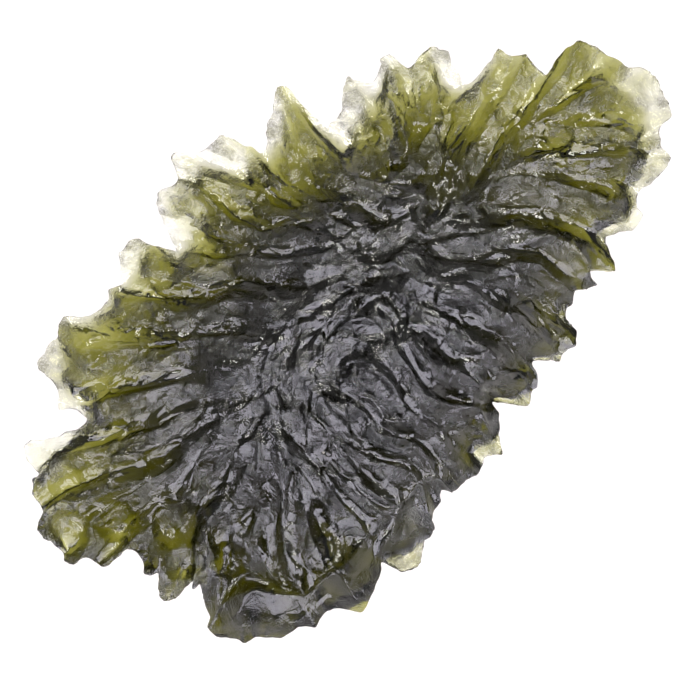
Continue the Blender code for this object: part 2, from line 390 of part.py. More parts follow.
def under_lines(step):
    """Ridges of the underside, one in from each long tip."""
    lines = []
    for k, (x, y) in enumerate(UNDER_TIPS):
        end = (x * UNDER_REACH[0], y * UNDER_REACH[1])
        bend = 0.7 * math.sin(2.4 * k)
        middle = ((x + end[0]) / 2 + bend * y / 10, (y + end[1]) / 2 - bend * x / 18)
        lines.append(smooth_line([(x, y), middle, end], step))
    return lines


def under_depths(points, rim, step):
    """Depth of the underside below the rim's own height."""
    depth, distance = glass_depth(points, rim)
    crest_low = (1 - TOP_SHARE) * depth * (1 + 0.05 * wobble(points, 2.6, 8.0))
    floor, width = channel(points, under_lines(step))
    x, y = points[:, 0], points[:, 1]
    belly = np.hypot((x - CENTRE[0]) / REST_REACH[0], (y - CENTRE[1]) / REST_REACH[1])
    clear = rise(belly, 0.8, 1.7)
    carved = floor * np.minimum(0.5 * crest_low, 0.3 * width) * clear
    carved += CUP_DEPTH * (1 - cups(points, CUP_SEED + 6, 1.3 * CUP_SIZE)) * rise(distance, 0.3, 2.5) * clear
    return np.maximum(crest_low - carved, 0.16 * crest_low) * plate_share(points)


def rim_heights(points):
    """Height of the rim's wavy surface."""
    return RIM_HEIGHT + RIM_WAVE * wobble(points, WAVE_LENGTH, 5.0) + 0.2 * wobble(points, 2.8, 6.0)


def plan_mesh(rim, lines, step):
    """Triangles that fill the rim, with edges along the lines, and which corners are on the rim.

    An edge from rim to rim is halved, so that the two sides meet nowhere but on the rim itself.
    """
    across = step * math.sqrt(3) / 2
    grid = []
    for row, y in enumerate(np.arange(-12, 12, across)):
        shift = step / 2 if row % 2 else 0
        grid += [(x + shift, y) for x in np.arange(-19, 19, step)]
    grid = np.array(grid)
    ring = np.vstack([rim, rim[:1]])
    room = nearest_on_line(grid, ring)[0]
    for line in lines:
        room = np.minimum(room, nearest_on_line(grid, line)[0])
    held = inside(grid, [tuple(point) for point in rim])
    points = [tuple(point) for point in rim]
    edges = [(i, (i + 1) % len(rim)) for i in range(len(rim))]
    for line in lines:
        clear = nearest_on_line(line, ring)[0] > 0.45 * step
        kept = line[clear & inside(line, points[:len(rim)])]
        first = len(points)
        points += [tuple(point) for point in kept]
        edges += [(first + k, first + k + 1) for k in range(len(kept) - 1)]
    points += [tuple(point) for point in grid[held & (room > 0.55 * step)]]
    while True:
        flat = delaunay_2d_cdt([Vector(point) for point in points], edges, [], 1, step * 0.12)
        on_rim = {k: min(source) for k, source in enumerate(flat[3]) if source and min(source) < len(rim)}
        chords = [(a, b) for a, b in flat[1] if a in on_rim and b in on_rim
                  and abs(on_rim[a] - on_rim[b]) not in (1, len(rim) - 1)]
        if not chords:
            return np.array([tuple(point) for point in flat[0]]), flat[2], on_rim
        points += [tuple((flat[0][a] + flat[0][b]) / 2) for a, b in chords]


def surface(places, faces, on_rim, mesh, rim_corners, up):
    """Adds one side of the stone to the mesh, on the rim's shared corners."""
    corners = []
    for k, place in enumerate(places):
        corners.append(rim_corners[on_rim[k]] if k in on_rim else mesh.verts.new(place))
    for face in faces:
        ring = [corners[k] for k in face]
        if len(set(ring)) == 3:
            mesh.faces.new(ring if up else ring[::-1])


def stone_mesh():
    """The whole stone as one closed mesh, with the middle of its box over the origin."""
    rim = smooth_line(RIM, MESH_STEP, closed=True)
    box_middle = (rim.min(axis=0) + rim.max(axis=0)) / 2
    mesh = bmesh.new()
    rim_corners = [mesh.verts.new(place) for place in np.column_stack([rim - box_middle, rim_heights(rim)]) * MM]
    top_lines = [smooth_line(line, MESH_STEP) for line in UPPER_CRESTS + LOWER_CRESTS + MIDDLE_CRESTS]
    for lines, up in ((top_lines, True), (under_lines(MESH_STEP), False)):
        points, faces, on_rim = plan_mesh(rim, lines, MESH_STEP)
        level = rim_heights(points)
        if up:
            heights = level + top_heights(points, rim, MESH_STEP)
        else:
            heights = np.maximum(level - under_depths(points, rim, MESH_STEP), 0)
        places = np.column_stack([points - box_middle, heights]) * MM
        surface(places, faces, on_rim, mesh, rim_corners, up)
    bmesh.ops.recalc_face_normals(mesh, faces=mesh.faces)
    return mesh


def glass_material():
    """Clear olive-green glass with a glossy skin."""
    material = bpy.data.materials.new("moldavite glass")
    material.use_nodes = True
    shader = material.node_tree.nodes["Principled BSDF"]
    shader.inputs["Base Color"].default_value = (0.20, 0.21, 0.06, 1)
    shader.inputs["Roughness"].default_value = 0.12
    shader.inputs["Metallic"].default_value = 0.0
    shader.inputs["IOR"].default_value = 1.49
    shader.inputs["Transmission Weight"].default_value = 0.8
    return material


def make_moldavite():
    """The stone as one named object."""
    data = bpy.data.meshes.new("moldavite")
    mesh = stone_mesh()
    mesh.to_mesh(data)
    mesh.free()
    data.materials.append(glass_material())
    stone = bpy.data.objects.new("moldavite", data)
    bpy.context.collection.objects.link(stone)
    return stone


remove_old_objects()
make_moldavite()
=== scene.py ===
"""Moldavite: one natural piece of olive-green glass with a sculpted skin, on a light table.

The lists of places and the sizes after them are in millimetres in the stone's own frame: X along it, Y
across it, Z up. The meshes are in metres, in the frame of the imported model.
"""
import math

import bpy
import numpy as np
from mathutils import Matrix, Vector
from mathutils.geometry import delaunay_2d_cdt


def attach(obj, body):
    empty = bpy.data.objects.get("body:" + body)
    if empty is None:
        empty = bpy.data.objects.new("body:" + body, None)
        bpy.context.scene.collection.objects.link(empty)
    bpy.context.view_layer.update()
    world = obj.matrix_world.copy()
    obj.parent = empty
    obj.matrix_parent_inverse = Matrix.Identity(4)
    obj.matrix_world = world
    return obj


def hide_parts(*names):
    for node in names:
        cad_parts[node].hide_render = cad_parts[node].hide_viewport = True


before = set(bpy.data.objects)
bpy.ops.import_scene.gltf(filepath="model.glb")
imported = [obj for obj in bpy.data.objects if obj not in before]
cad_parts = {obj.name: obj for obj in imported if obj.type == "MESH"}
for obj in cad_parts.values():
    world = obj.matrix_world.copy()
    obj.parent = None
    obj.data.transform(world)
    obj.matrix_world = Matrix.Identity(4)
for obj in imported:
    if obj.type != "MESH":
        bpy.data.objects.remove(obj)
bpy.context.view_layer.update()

bl_info = {
    "name": "Moldavite",
    "version": (1, 0, 0),
    "blender": (4, 5, 0),
    "location": "View3D > Sidebar > Moldavite",
    "description": "A ridged lens of olive-green natural glass on a light table",
    "category": "Object",
}

MM = 0.001   # metres
TINY = 1e-9  # keeps a length of nothing from being divided by

# The rim seen from above, clockwise from the left tip
RIM = [
    (-17.7, 2.25), (-17.6, 2.6), (-17.35, 2.85), (-16.9, 3.05), (-16.75, 3.6), (-16.65, 4.05),
    (-16.2, 4.5), (-15.85, 4.5), (-15.75, 5.3), (-15.45, 5.85), (-14.9, 5.88), (-14.55, 5.45),
    (-14.0, 5.15), (-13.45, 5.0), (-13.0, 4.75), (-12.4, 4.75), (-12.45, 5.25), (-12.65, 5.65),
    (-13.0, 6.0), (-12.6, 6.45), (-12.4, 6.8), (-12.42, 7.4), (-12.5, 8.0), (-12.3, 8.35), (-11.8, 8.45),
    (-11.4, 8.6), (-10.8, 8.62), (-10.35, 8.95), (-10.0, 9.08), (-9.65, 8.7), (-9.2, 8.3), (-8.7, 8.12),
    (-8.2, 8.12), (-7.85, 8.22), (-7.6, 8.53), (-7.2, 8.35), (-6.85, 8.3), (-6.5, 8.85), (-6.2, 9.15),
    (-6.0, 9.4), (-5.6, 9.38), (-5.25, 9.45), (-4.95, 9.2), (-4.75, 8.75), (-4.35, 8.1), (-4.0, 7.65),
    (-3.8, 8.2), (-3.6, 8.85), (-3.35, 9.6), (-3.15, 9.88), (-2.9, 9.98), (-2.65, 10.15), (-2.2, 10.02),
    (-1.7, 9.93), (-1.45, 10.25), (-1.25, 10.75), (-0.95, 10.93), (-0.6, 10.65), (-0.3, 10.42),
    (0.0, 10.2), (0.5, 10.12), (1.2, 10.08), (1.45, 9.6), (1.65, 9.1), (1.9, 8.75), (2.0, 8.25),
    (2.3, 8.2), (2.6, 8.42), (2.95, 8.8), (3.25, 9.05), (3.7, 9.2), (4.1, 9.58), (4.5, 9.85),
    (4.75, 9.98), (5.02, 9.65), (5.0, 8.9), (4.95, 7.8), (5.0, 6.85), (5.35, 6.95), (5.55, 6.85),
    (6.0, 6.98), (6.5, 7.4), (7.0, 7.75), (7.4, 8.0), (7.47, 7.7), (7.75, 7.3), (8.05, 7.03), (8.45, 7.1),
    (8.95, 7.3), (9.12, 7.55), (9.55, 7.42), (9.62, 6.9), (9.75, 6.42), (10.1, 6.33), (10.6, 6.43),
    (11.35, 6.32), (11.45, 6.0), (11.7, 5.65), (11.5, 5.2), (11.4, 4.7), (11.15, 4.15), (11.3, 3.9),
    (11.7, 3.86), (12.2, 3.9), (12.8, 3.96), (13.4, 4.05), (13.55, 3.6), (13.9, 3.25), (14.1, 3.0),
    (14.0, 2.5), (14.03, 2.05), (14.1, 1.68), (14.6, 1.75), (15.0, 1.87), (15.6, 1.95), (15.85, 1.83),
    (16.15, 1.83), (16.38, 1.55), (16.75, 0.9), (16.85, 0.4), (17.05, -0.05), (17.15, -0.45),
    (17.35, -0.8), (17.75, -1.0), (17.95, -1.5), (17.88, -2.1), (17.7, -2.7), (17.55, -3.15),
    (17.35, -3.45), (17.15, -3.75), (16.65, -3.7), (16.2, -3.85), (15.95, -4.15), (15.7, -4.45),
    (15.66, -5.1), (15.35, -5.28), (14.7, -5.33), (14.1, -5.38), (13.75, -5.22), (13.2, -5.4),
    (12.95, -5.75), (12.9, -6.1), (12.5, -6.25), (12.1, -6.32), (11.6, -5.97), (11.05, -5.68),
    (10.85, -5.9), (10.6, -6.45), (10.42, -6.95), (10.22, -7.2), (9.85, -6.8), (9.4, -6.38), (9.25, -6.6),
    (9.15, -7.05), (8.7, -6.85), (8.3, -6.58), (8.05, -6.62), (7.75, -6.9), (7.4, -6.88), (7.1, -7.25),
    (7.0, -7.95), (6.7, -8.25), (6.5, -8.4), (6.1, -8.28), (5.7, -8.28), (5.45, -8.45), (5.1, -8.1),
    (4.55, -7.6), (4.35, -7.95), (4.1, -8.35), (3.85, -8.6), (3.6, -8.55), (3.25, -8.8), (2.95, -8.88),
    (2.6, -8.5), (2.2, -8.05), (1.85, -7.65), (1.75, -8.05), (1.65, -8.35), (1.2, -8.85), (1.0, -8.98),
    (0.8, -9.35), (0.5, -9.73), (0.15, -9.45), (-0.25, -9.3), (-0.55, -9.5), (-0.95, -9.62),
    (-1.6, -9.48), (-2.1, -9.45), (-2.4, -9.35), (-2.7, -8.98), (-3.1, -9.38), (-3.7, -9.55),
    (-4.0, -9.75), (-4.12, -10.08), (-4.5, -10.2), (-4.9, -10.25), (-5.3, -10.5), (-5.8, -10.8),
    (-6.3, -10.68), (-6.65, -10.45), (-6.8, -9.95), (-7.0, -9.48), (-7.3, -9.75), (-8.0, -10.07),
    (-8.7, -10.33), (-9.15, -10.45), (-9.4, -10.25), (-9.7, -9.8), (-10.0, -9.5), (-10.4, -9.33),
    (-10.85, -9.37), (-11.25, -9.53), (-11.5, -9.25), (-11.85, -8.95), (-12.4, -8.87), (-12.8, -8.78),
    (-13.2, -8.4), (-13.7, -8.0), (-14.2, -7.82), (-14.35, -7.5), (-14.65, -7.15), (-15.0, -6.75),
    (-15.0, -6.15), (-14.55, -5.85), (-14.4, -5.4), (-14.1, -4.85), (-13.8, -4.4), (-14.15, -4.33),
    (-13.85, -4.05), (-14.4, -4.05), (-14.95, -4.12), (-15.4, -4.05), (-15.62, -3.85), (-15.55, -3.4),
    (-15.1, -3.05), (-14.75, -2.72), (-15.3, -2.3), (-15.1, -1.95), (-14.95, -1.5), (-15.0, -1.15),
    (-15.2, -0.95), (-15.8, -0.88), (-16.4, -0.82), (-16.6, -0.65), (-16.85, 0.12), (-17.35, 0.28),
    (-17.7, 0.7), (-17.55, 1.1), (-17.5, 1.75),
]

# Main crests of the top, each from the rim inwards; those along the upper side go left to right
UPPER_CRESTS = [
    [(-17.6, 2.6), (-17.0, 2.95), (-16.2, 2.95), (-15.3, 2.75), (-14.5, 2.3), (-13.6, 1.85), (-12.8, 1.25),
     (-11.8, 0.6), (-10.4, 0.4), (-8.4, 0.45), (-7.2, 0.25), (-6.2, 0.05), (-5.4, 0.3)],
    [(-16.2, 4.5), (-15.2, 4.5), (-14.4, 4.3), (-13.9, 4.0), (-13.3, 3.65), (-12.6, 3.25), (-11.8, 2.85),
     (-11.0, 2.5), (-10.3, 2.15), (-9.2, 1.9), (-8.2, 1.5), (-7.3, 1.0)],
    [(-12.4, 4.75), (-11.6, 4.85), (-11.0, 4.75), (-10.5, 4.35), (-10.0, 4.05), (-9.4, 3.72), (-8.9, 3.45),
     (-8.3, 3.1), (-7.8, 2.7), (-7.3, 2.2), (-6.4, 1.7), (-5.6, 1.2)],
    [(-10.0, 9.08), (-10.2, 8.4), (-10.5, 7.6), (-10.55, 7.05), (-10.1, 6.75), (-9.7, 6.5), (-9.2, 6.1),
     (-8.7, 5.8), (-8.2, 5.35), (-7.9, 4.85), (-7.4, 4.5), (-6.9, 4.3), (-6.2, 4.0), (-5.5, 3.45),
     (-4.9, 2.9), (-4.4, 2.1)],
    [(-7.6, 8.53), (-7.7, 7.9), (-7.4, 7.3), (-6.9, 6.95), (-6.5, 6.5), (-6.2, 5.9), (-5.85, 5.3),
     (-5.3, 4.95), (-4.8, 4.6), (-4.2, 4.35), (-3.7, 4.15), (-3.2, 3.7), (-2.7, 3.1), (-2.2, 2.4)],
    [(-4.95, 9.2), (-4.8, 8.6), (-4.4, 7.9), (-3.95, 7.45), (-3.45, 6.8), (-3.05, 6.1), (-2.6, 5.7),
     (-2.0, 5.25), (-1.5, 4.75), (-1.1, 4.2), (-0.5, 3.6), (0.2, 3.1), (1.0, 2.6)],
    [(-1.7, 9.93), (-1.45, 9.5), (-1.25, 8.9), (-1.2, 8.0), (-1.2, 7.2), (-1.1, 6.5), (-0.8, 5.9),
     (-0.5, 5.35), (0.0, 5.05), (0.6, 4.6), (1.0, 4.0), (1.3, 3.3)],
    [(-0.95, 10.93), (-0.6, 10.0), (-0.35, 9.3), (0.0, 8.7), (0.25, 8.1), (0.35, 7.5), (0.7, 7.0),
     (0.8, 6.5), (0.7, 5.9), (1.1, 5.3), (1.7, 4.9)],
    [(1.2, 10.08), (1.5, 9.5), (1.65, 8.9), (1.6, 8.2), (1.5, 7.3), (1.7, 6.6), (1.95, 5.9), (2.2, 5.1),
     (2.3, 4.3), (2.2, 3.5), (2.5, 2.7)],
    [(4.75, 9.98), (4.6, 9.2), (4.4, 8.4), (4.25, 7.4), (4.2, 6.4), (4.1, 5.4), (4.1, 4.7), (4.4, 4.1),
     (4.8, 3.45), (5.2, 2.9), (5.5, 2.2), (5.9, 1.6)],
    [(7.4, 8.0), (7.3, 7.3), (7.2, 6.7), (6.9, 6.2), (6.7, 5.6), (6.8, 5.1), (6.4, 4.7), (5.7, 4.6),
     (5.0, 4.3)],
    [(9.12, 7.55), (9.0, 6.9), (8.5, 6.5), (8.1, 6.2), (8.05, 5.6), (7.7, 5.0), (7.45, 4.4), (7.2, 3.8),
     (6.6, 3.1)],
    [(11.35, 6.32), (10.6, 5.9), (10.35, 5.3), (10.1, 4.7), (9.6, 4.2), (9.2, 3.55)],
    [(13.4, 4.05), (12.9, 3.55), (12.1, 3.45), (11.2, 3.6), (10.2, 3.55), (9.2, 3.5), (8.5, 3.5),
     (7.8, 3.35), (7.1, 3.1), (6.3, 2.95), (5.5, 3.0)],
    [(14.1, 3.0), (13.3, 2.65), (12.3, 2.3), (11.4, 2.1), (10.6, 1.95), (9.8, 1.65), (9.0, 1.45),
     (8.1, 1.05), (7.4, 0.65), (6.6, 0.3), (5.6, 0.1), (4.6, 0.15)],
    [(16.15, 1.83), (15.3, 1.3), (14.6, 1.1), (13.6, 1.0), (12.8, 0.9), (12.1, 0.6), (11.0, 0.6),
     (10.2, 0.35), (9.3, 0.0), (8.4, -0.25), (7.5, -0.3)],
    [(17.15, -0.45), (16.5, -0.45), (15.8, -0.5), (15.1, -0.3), (14.2, -0.1), (13.2, 0.0), (12.5, 0.3)],
]

# Those along the lower side, right to left
LOWER_CRESTS = [
    [(17.95, -1.5), (17.0, -1.6), (16.25, -1.5), (15.9, -1.0), (15.3, -0.75), (14.6, -0.6)],
    [(15.95, -4.15), (15.3, -3.5), (14.85, -2.85), (14.5, -2.3), (14.15, -1.85), (13.7, -1.45),
     (13.3, -1.05), (12.9, -0.5), (12.6, 0.0)],
    [(15.66, -5.1), (14.9, -4.4), (14.2, -3.75), (13.3, -3.0), (12.7, -2.5), (12.1, -1.95), (11.5, -1.4),
     (10.9, -0.95), (10.2, -0.5), (9.4, -0.2)],
    [(12.1, -6.32), (12.2, -5.5), (12.2, -4.8), (11.8, -3.9), (11.3, -3.0), (10.8, -2.2), (10.3, -1.4),
     (9.8, -0.8), (9.1, -0.4), (8.4, -0.25)],
    [(9.15, -7.05), (9.4, -6.2), (9.5, -5.4), (9.35, -4.6), (9.0, -3.9), (8.6, -3.25), (8.1, -2.65),
     (7.5, -2.15), (6.9, -1.75), (6.3, -1.4), (5.8, -1.0), (5.2, -0.6), (4.5, -0.2)],
    [(8.05, -6.62), (7.9, -5.8), (7.7, -5.0), (7.7, -4.5), (7.3, -4.0), (6.8, -3.55), (6.2, -3.3),
     (5.6, -3.05), (5.2, -2.6), (4.8, -2.1), (4.4, -1.5), (4.2, -0.9), (4.1, -0.3)],
    [(5.45, -8.45), (5.5, -7.6), (5.35, -6.9), (5.2, -6.2), (5.0, -5.4), (4.85, -4.7), (4.7, -4.0),
     (4.6, -3.2), (4.3, -2.5), (3.95, -1.9), (3.6, -1.4), (3.45, -0.8), (3.7, -0.2)],
    [(2.95, -8.88), (3.0, -7.9), (3.2, -6.8), (3.3, -5.8), (3.1, -5.0), (3.0, -4.3), (2.95, -3.6),
     (2.5, -2.9), (2.2, -2.3), (2.5, -1.4)],
    [(0.5, -9.73), (0.7, -8.8), (1.0, -7.9), (1.2, -7.3), (0.95, -7.0), (0.5, -6.5), (0.2, -6.05),
     (-0.1, -5.5), (-0.25, -5.0), (-0.1, -4.3), (0.1, -3.6), (0.15, -2.9), (0.4, -2.3), (0.85, -1.6),
     (0.65, -1.0)],
    [(-0.95, -9.62), (-1.1, -8.6), (-1.15, -7.6), (-1.1, -6.8), (-1.2, -6.0), (-1.25, -5.2), (-1.2, -4.6),
     (-1.0, -3.8), (-1.0, -3.1), (-1.3, -2.4), (-1.8, -2.0)],
    [(-2.4, -9.35), (-2.4, -8.3), (-2.2, -7.4), (-2.05, -6.7), (-2.3, -6.0), (-2.75, -5.4), (-3.0, -4.8),
     (-2.8, -4.2), (-2.8, -3.7), (-3.0, -3.1), (-3.4, -2.6), (-3.6, -1.9), (-3.4, -1.2)],
    [(-4.12, -10.08), (-3.7, -9.0), (-3.1, -7.9), (-3.3, -6.9), (-3.7, -6.2), (-4.05, -5.5), (-4.2, -4.9),
     (-4.35, -4.2), (-4.25, -3.4), (-4.05, -2.6), (-3.8, -1.9)],
    [(-4.7, -7.8), (-4.95, -7.1), (-5.05, -6.3), (-4.95, -5.6), (-4.85, -4.9), (-4.8, -4.2), (-4.75, -3.5),
     (-4.55, -2.9)],
    [(-5.3, -7.7), (-5.4, -6.9), (-5.5, -6.3), (-5.6, -5.6), (-5.6, -4.9), (-5.5, -4.2), (-5.25, -3.6),
     (-4.95, -2.9), (-4.65, -2.3), (-4.2, -1.8)],
    [(-6.6, -8.0), (-6.4, -7.0), (-6.42, -6.2), (-6.3, -5.4), (-6.15, -4.8), (-6.1, -4.2), (-6.3, -3.5),
     (-6.5, -2.9), (-6.4, -2.3), (-6.2, -1.6)],
    [(-9.0, -7.9), (-8.75, -7.1), (-8.4, -6.2), (-8.1, -5.6), (-7.7, -5.0), (-7.2, -4.4), (-6.9, -3.8),
     (-6.75, -3.2)],
    [(-10.5, -8.0), (-10.35, -7.3), (-10.2, -6.6), (-9.8, -6.0), (-9.3, -5.4), (-8.9, -4.9), (-8.4, -4.35),
     (-8.0, -3.9), (-7.5, -3.3), (-7.0, -2.8), (-6.6, -2.2), (-6.2, -1.6), (-5.8, -1.0), (-5.5, -0.5),
     (-5.3, 0.2), (-4.7, 0.7), (-4.1, 1.05)],
    [(-11.1, -7.3), (-11.05, -6.3), (-10.8, -5.3), (-10.4, -4.5), (-9.9, -4.1), (-9.2, -3.8), (-8.8, -3.2),
     (-8.3, -2.6), (-7.7, -2.1), (-7.1, -1.5)],
    [(-15.0, -6.3), (-14.0, -5.85), (-13.3, -5.1), (-12.8, -4.5), (-12.35, -3.8), (-12.1, -3.2),
     (-11.6, -2.6), (-10.9, -2.45), (-9.8, -2.5), (-9.0, -2.3), (-8.2, -1.9)],
    [(-13.85, -4.05), (-13.3, -3.7), (-12.9, -3.25), (-12.4, -2.8), (-11.7, -2.6)],
    [(-15.3, -2.3), (-14.7, -2.5), (-14.2, -2.2), (-13.9, -1.8), (-13.8, -1.3), (-13.5, -0.9),
     (-12.7, -0.8), (-11.8, -0.95), (-11.0, -0.8), (-10.4, -0.5), (-9.5, -0.2), (-8.5, -0.1)],
    [(-16.6, -0.65), (-15.5, -0.8), (-14.4, -0.75), (-13.5, -0.9)],
    [(-17.35, 0.28), (-16.6, 0.35), (-16.0, 0.6), (-15.45, 1.2), (-14.6, 1.1), (-13.7, 1.0), (-13.0, 0.75),
     (-12.0, 0.65)],
]

# The broken edge of the thick block at the lower left, and the crests of the middle
BLOCK_EDGE = [
    (-14.9, -6.2), (-13.9, -5.85), (-12.7, -5.8), (-11.9, -6.2), (-11.4, -7.0), (-10.8, -7.75),
    (-10.2, -8.15), (-9.4, -7.95), (-8.7, -8.1), (-7.8, -8.2), (-6.9, -8.1), (-6.2, -7.9), (-5.4, -7.8),
    (-4.7, -7.9), (-4.0, -8.1), (-3.1, -7.9), (-2.4, -8.2),
]
MIDDLE_CRESTS = [
    BLOCK_EDGE,
    [(-11.6, -8.8), (-10.7, -8.85), (-9.8, -8.95), (-8.9, -8.85), (-8.1, -9.15), (-7.2, -9.1), (-6.3, -8.8),
     (-5.6, -8.7), (-5.0, -8.3), (-4.4, -8.15)],
    [(-3.0, 3.5), (-2.4, 2.6), (-1.3, 1.95), (-0.4, 1.55), (0.25, 1.3), (1.0, 0.95), (1.6, 0.7), (2.4, 0.35),
     (3.2, 0.2), (3.9, -0.2)],
    [(-4.1, 1.05), (-3.2, 1.1), (-2.3, 1.1), (-1.2, 0.75), (0.0, 0.55), (1.0, 0.5)],
    [(-3.6, -0.3), (-2.9, 0.4), (-2.2, 0.75)],
    [(-3.4, -1.2), (-2.6, -0.8), (-1.7, -0.7), (-1.0, -0.3), (-0.3, -0.4), (0.65, -1.0)],
    [(1.0, 2.6), (1.9, 2.5), (2.8, 2.4), (3.1, 1.6), (3.6, 1.1), (4.6, 1.15), (5.9, 1.3)],
    [(2.1, 6.3), (2.6, 6.95), (3.1, 7.4), (3.7, 8.1), (4.1, 9.0)],
    [(2.1, -6.7), (2.2, -6.1), (2.6, -5.75), (3.3, -5.7)],
    [(1.85, -7.65), (1.85, -6.8), (1.8, -6.0), (1.5, -5.2), (1.2, -4.5), (1.1, -3.7), (1.4, -3.0)],
]

# Lesser crests, which stay inside the channels
LESSER_CRESTS = [
    [(10.22, -7.2), (10.1, -6.3), (9.9, -5.5), (9.7, -4.8)],
    [(6.5, -8.4), (6.5, -7.5), (6.3, -6.6), (5.9, -5.7), (5.4, -5.2), (4.95, -4.9)],
    [(-3.1, -4.9), (-3.15, -5.8), (-3.3, -6.6)],
    [(-9.15, -10.45), (-9.2, -9.6), (-8.95, -8.9)],
    [(-5.8, -10.8), (-5.9, -9.9), (-6.3, -8.9)],
    [(-11.25, -9.53), (-10.9, -8.9), (-10.4, -8.3)],
    [(-2.65, 10.15), (-2.8, 9.3), (-3.0, 8.5), (-3.2, 7.7), (-3.4, 7.0)],
    [(-6.2, 9.15), (-6.0, 8.3), (-6.1, 7.9), (-5.4, 7.85), (-4.8, 7.9)],
    [(-12.3, 8.35), (-11.5, 7.6), (-11.8, 6.9), (-12.4, 6.75)],
    [(-11.8, 6.3), (-11.1, 6.3), (-10.8, 6.65), (-10.5, 7.0)],
    [(12.9, -6.0), (12.5, -5.4), (12.3, -4.8)],
    [(16.2, -3.85), (16.1, -3.0), (16.15, -2.3), (16.25, -1.6)],
    [(-4.7, -6.2), (-4.5, -5.5), (-4.4, -4.9)],
    [(-7.2, -7.6), (-7.0, -6.6), (-6.9, -5.6), (-6.8, -4.8)],
]

# Round hollows: centre, radius and depth
HOLLOWS = [
    (-16.75, 1.55, 1.15, 0.75), (-14.6, 0.35, 1.0, 0.6), (-12.5, -1.75, 1.35, 0.8), (-13.6, -3.2, 1.0, 0.5),
    (-12.0, -4.5, 0.9, 0.45), (-2.2, 8.1, 0.95, 0.45), (-15.1, 3.4, 0.9, 0.4), (-11.2, 5.6, 0.9, 0.4),
    (12.6, -0.7, 0.8, 0.3), (3.4, -7.1, 0.8, 0.25), (0.7, -7.9, 0.6, 0.25),
]

# Thin, nearly clear plates at the rim, each a patch of the plan
PLATES = [
    [(-16.0, 4.5), (-16.2, 6.2), (-14.2, 6.2), (-12.2, 5.0), (-12.4, 4.6), (-14.5, 4.55)],
    [(-13.3, 6.1), (-12.9, 8.9), (-10.9, 8.9), (-11.3, 7.7), (-12.0, 7.0), (-12.2, 5.4), (-12.3, 4.9)],
    [(-10.4, 9.3), (-8.8, 9.0), (-7.2, 8.7), (-7.9, 8.0), (-9.2, 8.1), (-10.1, 8.5)],
    [(-6.9, 8.2), (-6.6, 9.8), (-4.6, 9.7), (-5.2, 8.7), (-5.9, 8.2)],
    [(-4.2, 7.4), (-3.9, 10.4), (-1.9, 10.3), (-2.8, 9.6), (-3.1, 8.6), (-3.5, 7.4)],
    [(-1.6, 9.9), (-1.5, 11.2), (0.0, 11.2), (1.5, 10.4), (1.4, 8.6), (0.9, 8.1), (0.35, 8.6), (-0.4, 9.6),
     (-1.0, 9.5)],
    [(2.4, 8.2), (3.0, 9.5), (4.6, 10.4), (4.5, 9.2), (3.8, 8.5), (3.1, 8.1)],
    [(5.0, 5.6), (5.0, 7.4), (7.5, 8.4), (8.4, 7.6), (9.7, 7.8), (9.6, 7.1), (8.9, 6.9), (8.2, 6.5),
     (7.4, 6.7), (6.7, 6.2), (5.7, 6.0)],
    [(10.9, 6.1), (11.6, 6.6), (12.0, 5.5), (11.3, 3.9), (10.9, 3.9), (10.4, 4.9)],
    [(11.2, 4.2), (13.2, 4.3), (13.1, 3.85), (12.0, 3.7), (11.3, 3.7)],
    [(16.3, -0.9), (17.6, -0.7), (18.3, -1.5), (17.4, -4.1), (15.9, -4.4), (15.2, -3.5), (16.5, -2.9)],
    [(13.2, -5.7), (16.0, -5.6), (16.0, -4.3), (15.1, -4.25), (14.3, -4.6), (13.4, -4.9)],
    [(11.0, -5.4), (12.1, -6.7), (13.2, -6.4), (13.1, -5.6), (12.3, -5.7), (11.6, -5.3)],
    [(-0.6, -8.7), (-0.6, -9.8), (0.5, -10.0), (1.0, -9.0), (0.4, -8.8), (0.0, -8.4)],
    [(-7.0, -9.4), (-6.8, -10.8), (-4.7, -10.8), (-4.7, -10.2), (-5.9, -9.95)],
    [(-10.3, -9.7), (-9.4, -10.8), (-7.2, -10.3), (-7.1, -9.6), (-8.4, -9.85), (-9.4, -9.7)],
    [(4.6, -7.4), (5.4, -8.8), (5.6, -8.1), (5.1, -7.6)],
    [(1.9, -7.5), (3.0, -9.1), (3.0, -8.3), (2.3, -7.6)],
]

# Long tips whose ridges are also on the underside
UNDER_TIPS = [
    (-17.6, 2.6), (-15.2, 5.8), (-12.5, 8.1), (-10.0, 9.08), (-7.6, 8.53), (-5.5, 9.4), (-2.65, 10.15),
    (-0.95, 10.93), (1.2, 10.08), (4.75, 9.98), (7.4, 8.0), (9.5, 7.42), (11.35, 6.32), (13.4, 4.05),
    (16.15, 1.83), (17.95, -1.5), (17.15, -3.75), (15.5, -5.2), (12.5, -6.25), (10.22, -7.2), (9.15, -7.05),
    (6.5, -8.4), (5.45, -8.45), (2.95, -8.88), (0.5, -9.73), (-1.6, -9.48), (-4.5, -10.2), (-5.8, -10.8),
    (-9.15, -10.45), (-11.25, -9.53), (-14.2, -7.82), (-15.0, -6.4), (-15.5, -3.7), (-15.3, -2.3),
    (-16.4, -0.82), (-17.7, 0.7),
]

